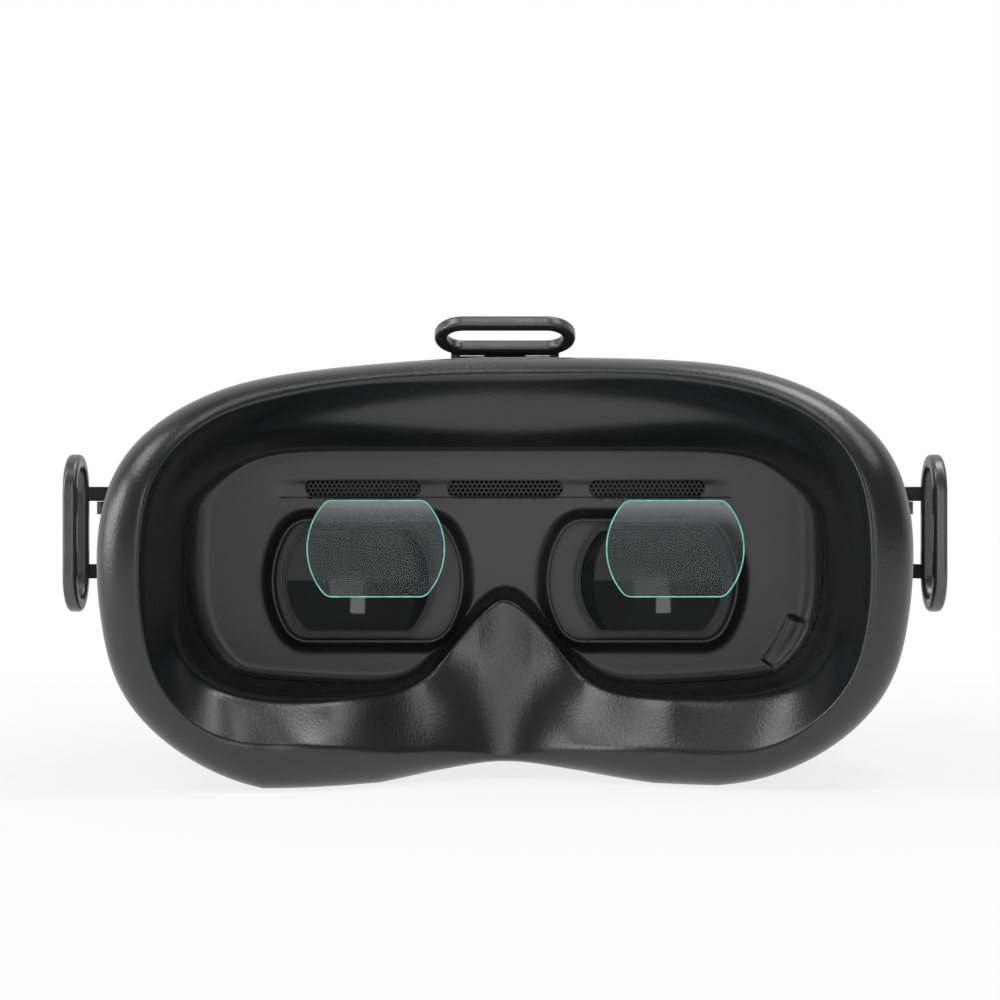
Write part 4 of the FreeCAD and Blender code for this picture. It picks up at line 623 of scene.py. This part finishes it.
def plate_height(points):
    """Rise of the plate's face towards the wearer."""
    d, near = ring_distance(points, floor_ring)
    r = fillet_radius[near]
    t = np.clip(1 + d / r, 0, 0.9999)
    rise = r * (1 - np.sqrt(1 - t ** 2))
    for ring in openings:
        e, _ = ring_distance(points, ring)
        rise = soft_max(rise, collar_height(np.maximum(e, 0)))
    # groove with a crisp lower ledge and a softer upper edge, fading out at its ends
    low, high = SLOT_Z - GROOVE_HEIGHT / 2, SLOT_Z + GROOVE_HEIGHT / 2
    x, z = points[:, 0], points[:, 1]
    along = smooth_step((GROOVE_LENGTH / 2 - np.abs(x)) / GROOVE_END)
    across = (np.clip((z - low) / GROOVE_LEDGE, 0, 1)
              * (1 - smooth_step((z - high + GROOVE_SLOPE) / GROOVE_SLOPE)))
    rise = rise - GROOVE_DEPTH * along * across
    # curved step
    dx, dz = x - STEP_MIDDLE[0], z - STEP_MIDDLE[1]
    out, angle = np.hypot(dx, dz) - STEP_R, np.degrees(np.arctan2(dz, dx))
    inner = smooth_step(out / STEP_EDGE)
    ends = (smooth_step((angle - STEP_SWEEP[0]) / STEP_ENDS[0])
            * smooth_step((STEP_SWEEP[1] - angle) / STEP_ENDS[1]))
    outside = 1 - smooth_step((out - STEP_FLAT) / STEP_SLOPE)
    return rise + STEP_RISE * inner * ends * outside


def clear_of_edges(points, from_floor, from_holes):
    """Whether each (x, z) point lies that far inside the plate's edge and outside its holes."""
    keep = ring_distance(points, floor_ring)[0] < -from_floor
    for ring in holes:
        keep &= ring_distance(points, ring)[0] > from_holes
    return keep


def plate_rows():
    """Rows of (x, z) points where the plate's face bends, and a grid between them."""
    for step in FILLET_STEPS:
        yield offset_ring(floor_ring, -step)
    for rings, steps in ((openings, COLLAR_STEPS), (slot_rings, SLOT_STEPS)):
        for ring in rings:
            for step in steps:
                yield offset_ring(ring, step)
    xs = np.arange(-GROOVE_LENGTH / 2 - 1, GROOVE_LENGTH / 2 + 1.01, ROW_STEP)
    for z in np.concatenate([SLOT_Z - GROOVE_HEIGHT / 2 + np.array(LEDGE_STEPS),
                             SLOT_Z + GROOVE_HEIGHT / 2 - np.arange(-0.3, 2.0, 0.3)]):
        yield np.stack([xs, np.full(len(xs), z)], 1)
    a = np.radians(np.arange(STEP_SWEEP[0] - 1.6, STEP_SWEEP[1] + 1.61, ARC_STEP))
    for radius in STEP_R + np.array(STEP_STEPS):
        yield np.stack([STEP_MIDDLE[0] + radius * np.cos(a), STEP_MIDDLE[1] + radius * np.sin(a)], 1)
    gx, gz = np.meshgrid(np.arange(*GRID_X, GRID), np.arange(*GRID_Z, GRID))
    yield np.stack([gx.ravel() + GRID_SHIFT[0], gz.ravel() + GRID_SHIFT[1]], 1)


def plate_mesh():
    """Points and triangles of the plate's face."""
    edges, boundary, count = [floor_ring] + holes, [], 0
    for ring in edges:
        boundary += [(count + i, count + (i + 1) % len(ring)) for i in range(len(ring))]
        count += len(ring)
    rows = np.vstack(list(plate_rows()))
    rows = rows[clear_of_edges(rows, CLEAR_OF_FLOOR_EDGE, CLEAR_OF_HOLES)]
    pts = np.vstack(edges + [rows])
    made = delaunay_2d_cdt([Vector((float(x), float(z))) for x, z in pts], boundary, [], 0, 0.01)
    verts = np.array([(v.x, v.y) for v in made[0]])
    faces = np.array([f for f in made[2] if len(f) == 3])
    faces = faces[clear_of_edges(verts[faces].mean(1), 0, 0)]
    points = at_depth(verts, PLATE_Y - plate_height(verts))
    a, b, c = points[faces[0]]
    if np.cross(b - a, c - a)[1] > 0:
        faces = faces[:, ::-1]
    return points, faces


plate_points, plate_faces = plate_mesh()
all_points, all_faces = [plate_points], [plate_faces.tolist()]


def add_rings(rings):
    """Adds a strip through rings to the rear shell's mesh, facing the basin or the hole that it lines."""
    first = sum(len(p) for p in all_points)
    quads = [tuple(first + i for i in f[::-1]) for f in tube_faces(len(rings), len(rings[0]))]
    all_points.append(np.vstack(rings))
    all_faces.append(quads)


# basin wall from the plate's edge out to a place inside the pad's lip
under_lip = at_depth(offset_ring(lip_ring, UNDER_LIP[0]), PAD_BASE_Y - lip_depth + UNDER_LIP[1])[nearest]
wall_foot = at_depth(floor_ring, PLATE_Y - plate_height(floor_ring))
add_rings([wall_foot + (under_lip - wall_foot) * t for t in np.linspace(0, 1, 7)])
# walls of the openings and slots
for ring in holes:
    top, back = at_depth(ring, PLATE_Y - plate_height(ring)), at_depth(ring, PLATE_Y + PLATE)
    add_rings([top + (back - top) * t for t in (0, 0.25, 0.6, 1)])
basin = make_object("rear_shell_face", np.vstack(all_points), sum(all_faces, []), sharp=38)
basin.modifiers.new("weld", "WELD").merge_threshold = 0.00001
bodied(basin, "housing", "inner_plastic")


def shell_back():
    """The rear shell's flange, back, rod brackets and board posts, without its face."""
    mesh = nodes["rear_shell"].data
    points = np.empty(len(mesh.vertices) * 3)
    mesh.vertices.foreach_get("co", points)
    points = points.reshape(-1, 3) / MM
    faces = [tuple(p.vertices) for p in mesh.polygons]
    middle = np.array([points[list(f)].mean(0) for f in faces])
    flat = middle[:, [0, 2]]
    rim, _ = ring_distance(flat, even(inner_ring, AROUND // 2))
    floor_gap, _ = ring_distance(flat, even(plate_ring, AROUND // 2))
    t = np.clip((middle[:, 1] - PAD_BASE_Y) / (PLATE_Y - PAD_BASE_Y), 0, 1)
    outside, behind = FACE_LEFT_OUT
    keep = (rim * (1 - t) + floor_gap * t > outside) | (middle[:, 1] > PLATE_Y + PLATE - behind)
    kept = [f for f, k in zip(faces, keep) if k]
    used = sorted({i for f in kept for i in f})
    renumber = {old: new for new, old in enumerate(used)}
    return make_object("rear_shell_back", points[used], [[renumber[i] for i in f] for f in kept], sharp=30)


bodied(shell_back(), "housing", "inner_plastic")
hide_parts("rear_shell")


# ---------------------------------------------------------------- mesh behind the air slots
def vent_strip():
    """Thin strip with six-sided holes, as one ring of faces round each hole."""
    y0, y1 = PLATE_Y + PLATE - VENT_THICK, PLATE_Y + PLATE
    points, faces = [], []
    turn = np.radians(np.arange(6) * 60 + 30)
    outside = np.stack([np.cos(turn), np.sin(turn)], 1) * VENT_PITCH / math.sqrt(3)
    inside = np.stack([np.cos(turn), np.sin(turn)], 1) * VENT_HOLE
    for row in range(-2, 4):
        z = SLOT_Z + (row - 0.5) * VENT_PITCH * math.sqrt(3) / 2
        for column in range(-47, 47):
            x = (column + 0.5 * (row % 2)) * VENT_PITCH
            first = len(points)
            for ring, y in ((outside, y0), (inside, y0), (inside, y1), (outside, y1)):
                points += [(x + a, y, z + b) for a, b in ring]
            for k in range(6):
                n = (k + 1) % 6
                for a in (first, first + 6, first + 12):
                    faces.append((a + k, a + n, a + 6 + n, a + 6 + k))
    return make_object("vent_strip", points, faces, smooth=False)


strip = bodied(vent_strip(), "housing", "mesh_metal")
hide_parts("vent_mesh")


def slot_shade_sheet():
    """Near-black sheet behind the middle slot, painted shade that darkens the slot's holes and hides the rod
    post close behind the strip.
    """
    columns, rows = 20, 6
    xs = np.linspace(-SLOT[0] / 2 - 1, SLOT[0] / 2 + 1, columns)
    zs = np.linspace(SLOT_Z - SHADE_SHEET_HALF, SLOT_Z + SHADE_SHEET_HALF, rows)
    points = [(x, PLATE_Y + PLATE - SHADE_SHEET_GAP, z) for z in zs for x in xs]
    corners = [columns * r + c for r in range(rows - 1) for c in range(columns - 1)]
    faces = [(i, i + 1, i + columns + 1, i + columns) for i in corners]
    return make_object("vent_shade_sheet", points, faces, smooth=False)


shade_sheet = slot_shade_sheet()
# painted shade: the sheet is nearly black and barely reflects
shade_sheet.data.materials.append(surface("painted_slot_shade", (0.0025, 0.0025, 0.0026), 0.9, grain=0.3,
                                    specular=0.05))
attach(shade_sheet, "housing")


# ---------------------------------------------------------------- lens bezels and films
def bezel(side, name, s, grow, y, radius):
    """Thin rounded rim round a barrel's window, which it is larger than by twice grow."""
    size, corner = [w + 2 * grow for w in WINDOW], WINDOW_CORNER + max(grow, 0)
    ring = eye_outline(size, corner, s * EYE_X, EYE_Z, 200)
    rings = []
    for a in np.linspace(0, 2 * math.pi, 12, endpoint=False):
        rings.append(at_depth(offset_ring(ring, radius * math.cos(a)), y - radius * math.sin(a)))
    bodied(lofted(side + name, rings, closed=True), side + "_eyepiece", "inner_plastic")


def film_pane(side):
    """Thin glass pane and its ground edge, which has a painted glow."""
    low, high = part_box(side + "_lens_film")
    x, z = (low[0] + high[0]) / 2 / MM, (low[2] + high[2]) / 2 / MM
    y0, y1 = low[1] / MM, high[1] / MM
    count, inset = 160, 0.02
    ring = eye_outline(FILM, FILM_CORNER, x, z, count)
    inner, flat = offset_ring(ring, -FILM_EDGE), offset_ring(ring, -FILM_BEVEL)
    pane = make_object(side + "_film_pane",
                       np.vstack([at_depth(inner, y0 + inset), at_depth(inner, y1 - inset)]),
                       [tuple(range(count)), tuple(range(2 * count - 1, count - 1, -1))], smooth=False)
    bodied(pane, side + "_film", "film_glass")
    rings = [at_depth(inner, y0), at_depth(flat, y0), at_depth(ring, y0 + FILM_BEVEL),
             at_depth(ring, y1 - FILM_BEVEL), at_depth(flat, y1), at_depth(inner, y1)]
    edge = lofted(side + "_film_edge_painted_glow", rings, closed=True)
    edge.data.materials.append(film_edge_painted_glow)
    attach(edge, side + "_film")
    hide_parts(side + "_lens_film")


def dished_lens(side, s):
    """Eyepiece glass with its hollow face towards the wearer."""
    low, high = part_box(side + "_lens")
    front, back = low[1] / MM, high[1] / MM
    size = (high[0] / MM - low[0] / MM, high[2] / MM - low[2] / MM)
    ring = eye_outline(size, WINDOW_CORNER, 0, 0, 200)
    reach = np.linalg.norm(ring, axis=1).max()
    middle, centre = (s * EYE_X, EYE_Z), 0.04
    rings = [at_depth(ring * centre + middle, back), at_depth(ring + middle, back),
             at_depth(ring + middle, front)]
    for share in np.linspace(1, centre, 26):
        out = np.linalg.norm(ring * share, axis=1)
        down = np.sqrt(LENS_R ** 2 - out ** 2) - math.sqrt(LENS_R ** 2 - reach ** 2)
        rings.append(at_depth(ring * share + middle, front + down))
    glass = lofted(side + "_lens_glass", rings, sharp=40, caps=True)
    bodied(glass, side + "_eyepiece", "lens_glass")
    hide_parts(side + "_lens")


for side, s in (("left", -1), ("right", 1)):
    bezel(side, "_bezel", s, 0.45, -16.05, 0.3)
    bezel(side, "_inner_bezel", s, -0.15, -15.1, 0.22)
    dished_lens(side, s)
    film_pane(side)

# ---------------------------------------------------------------- floor, light and camera
FLOOR_R, FLOOR_POINTS = 1.5, 96
FLOOR_GLOW, GLOW_FROM, GLOW_TO = 0.82, 0.12, 0.36
AMBIENT, BACKDROP_FULL = 0.19, 0.35


def seen_directly(tree_nodes, links):
    """One for rays from the camera, one for reflections and glass, and one for either, else zero."""
    path = tree_nodes.new("ShaderNodeLightPath")
    gloss = add_node(tree_nodes, "ShaderNodeMath", operation="ADD")
    either = add_node(tree_nodes, "ShaderNodeMath", operation="ADD", use_clamp=True)
    links.new(path.outputs["Is Glossy Ray"], gloss.inputs[0])
    links.new(path.outputs["Is Transmission Ray"], gloss.inputs[1])
    links.new(path.outputs["Is Camera Ray"], either.inputs[0])
    links.new(gloss.outputs["Value"], either.inputs[1])
    return path.outputs["Is Camera Ray"], gloss.outputs["Value"], either.outputs["Value"]


def floor_material():
    """Plain white seen from a distance, which keeps the shadow near the object."""
    m, tn, links, bsdf = material("floor_white")
    bsdf.inputs["Base Color"].default_value = (0.9, 0.9, 0.9, 1)
    bsdf.inputs["Roughness"].default_value = 0.9
    bsdf.inputs["Specular IOR Level"].default_value = 0.0
    glow = add_node(tn, "ShaderNodeEmission", Strength=1.0)
    shown = tn.new("ShaderNodeMixShader")
    where = tn.new("ShaderNodeTexCoord")
    away = add_node(tn, "ShaderNodeVectorMath", operation="LENGTH")
    links.new(where.outputs["Object"], away.inputs[0])
    share = add_node(tn, "ShaderNodeMath", operation="MULTIPLY")
    links.new(ramp(tn, links, away.outputs["Value"], FLOOR_GLOW, 1.0, GLOW_FROM, GLOW_TO), share.inputs[0])
    links.new(seen_directly(tn, links)[2], share.inputs[1])
    links.new(share.outputs["Value"], shown.inputs[0])
    links.new(bsdf.outputs["BSDF"], shown.inputs[1])
    links.new(glow.outputs["Emission"], shown.inputs[2])
    links.new(shown.outputs["Shader"], tn["Material Output"].inputs["Surface"])
    return m


def studio_world():
    """A white backdrop behind the object, and a dim room on the camera's side."""
    world = bpy.data.worlds.new("studio")
    world.use_nodes = True
    wn, links = world.node_tree.nodes, world.node_tree.links
    wn["Background"].inputs["Color"].default_value = (1, 1, 1, 1)
    to_camera, to_gloss, _ = seen_directly(wn, links)
    way = wn.new("ShaderNodeTexCoord")
    parts = wn.new("ShaderNodeSeparateXYZ")
    links.new(way.outputs["Generated"], parts.inputs["Vector"])
    behind = add_node(wn, "ShaderNodeMath", operation="MULTIPLY")
    links.new(ramp(wn, links, parts.outputs["Y"], AMBIENT, 1.0, 0.0, BACKDROP_FULL), behind.inputs[0])
    links.new(to_gloss, behind.inputs[1])
    most = add_node(wn, "ShaderNodeMath", operation="MAXIMUM")
    links.new(behind.outputs["Value"], most.inputs[0])
    links.new(ramp(wn, links, to_camera, AMBIENT, 1.0), most.inputs[1])
    links.new(most.outputs["Value"], wn["Background"].inputs["Strength"])
    return world


around = np.linspace(0, 2 * math.pi, FLOOR_POINTS, endpoint=False)
floor = make_object("floor", [(FLOOR_R * math.cos(a) / MM, FLOOR_R * math.sin(a) / MM, cad_box[0].z / MM)
                              for a in around], [tuple(range(FLOOR_POINTS))])
floor.data.materials.append(floor_material())
scene.world = studio_world()


def lamp(name, place, aim, width, height, power):
    """Softbox at a place, turned to what it is aimed at."""
    data = bpy.data.lights.new(name, "AREA")
    data.shape = "RECTANGLE"
    data.size, data.size_y = width, height
    data.energy = power
    obj = bpy.data.objects.new(name, data)
    scene.collection.objects.link(obj)
    obj.location = place
    obj.rotation_mode = "QUATERNION"
    obj.rotation_quaternion = (Vector(aim) - Vector(place)).to_track_quat("-Z", "Y")


# each softbox: degrees round from the camera's side, degrees up, width, height and power
LAMPS = {
    "overhead": (0, 62, 0.22, 0.22, 0.55),
    "left_top": (-60, 50, 0.40, 0.40, 2.2),
    "right_top": (60, 50, 0.40, 0.40, 1.2),
    "high": (90, 74, 0.40, 0.40, 3.2),
    "left_low": (-80, 8, 0.50, 0.30, 2.2),
    "left": (-70, 22, 0.30, 0.30, 1.7),
    "front_low": (5, 4, 0.50, 0.25, 0.65),
    "front": (-4.6, 18, 0.20, 0.24, 0.6),
}
AIM = (0, -0.02, 0.05)          # the lamps stand 1 m from here
for name, (turn, up, width, height, power) in LAMPS.items():
    turn, up = math.radians(turn), math.radians(up)
    away = (math.cos(up) * math.sin(turn), -math.cos(up) * math.cos(turn), math.sin(up))
    place = (AIM[0] + away[0], AIM[1] + away[1], AIM[2] + away[2])
    lamp(name + "_light", place, AIM, width, height, power)

camera_data = bpy.data.cameras.new("camera")
camera = bpy.data.objects.new("camera", camera_data)
scene.collection.objects.link(camera)
camera.location = (0, -0.541, 0.0638)
camera.rotation_euler = (math.pi / 2, 0, 0)
camera_data.sensor_width = 36
camera_data.lens = 79.4
camera_data.shift_x, camera_data.shift_y = -0.005, 0.005
camera_data.clip_start, camera_data.clip_end = 0.01, 20
scene.camera = camera
scene.view_settings.view_transform = "Standard"
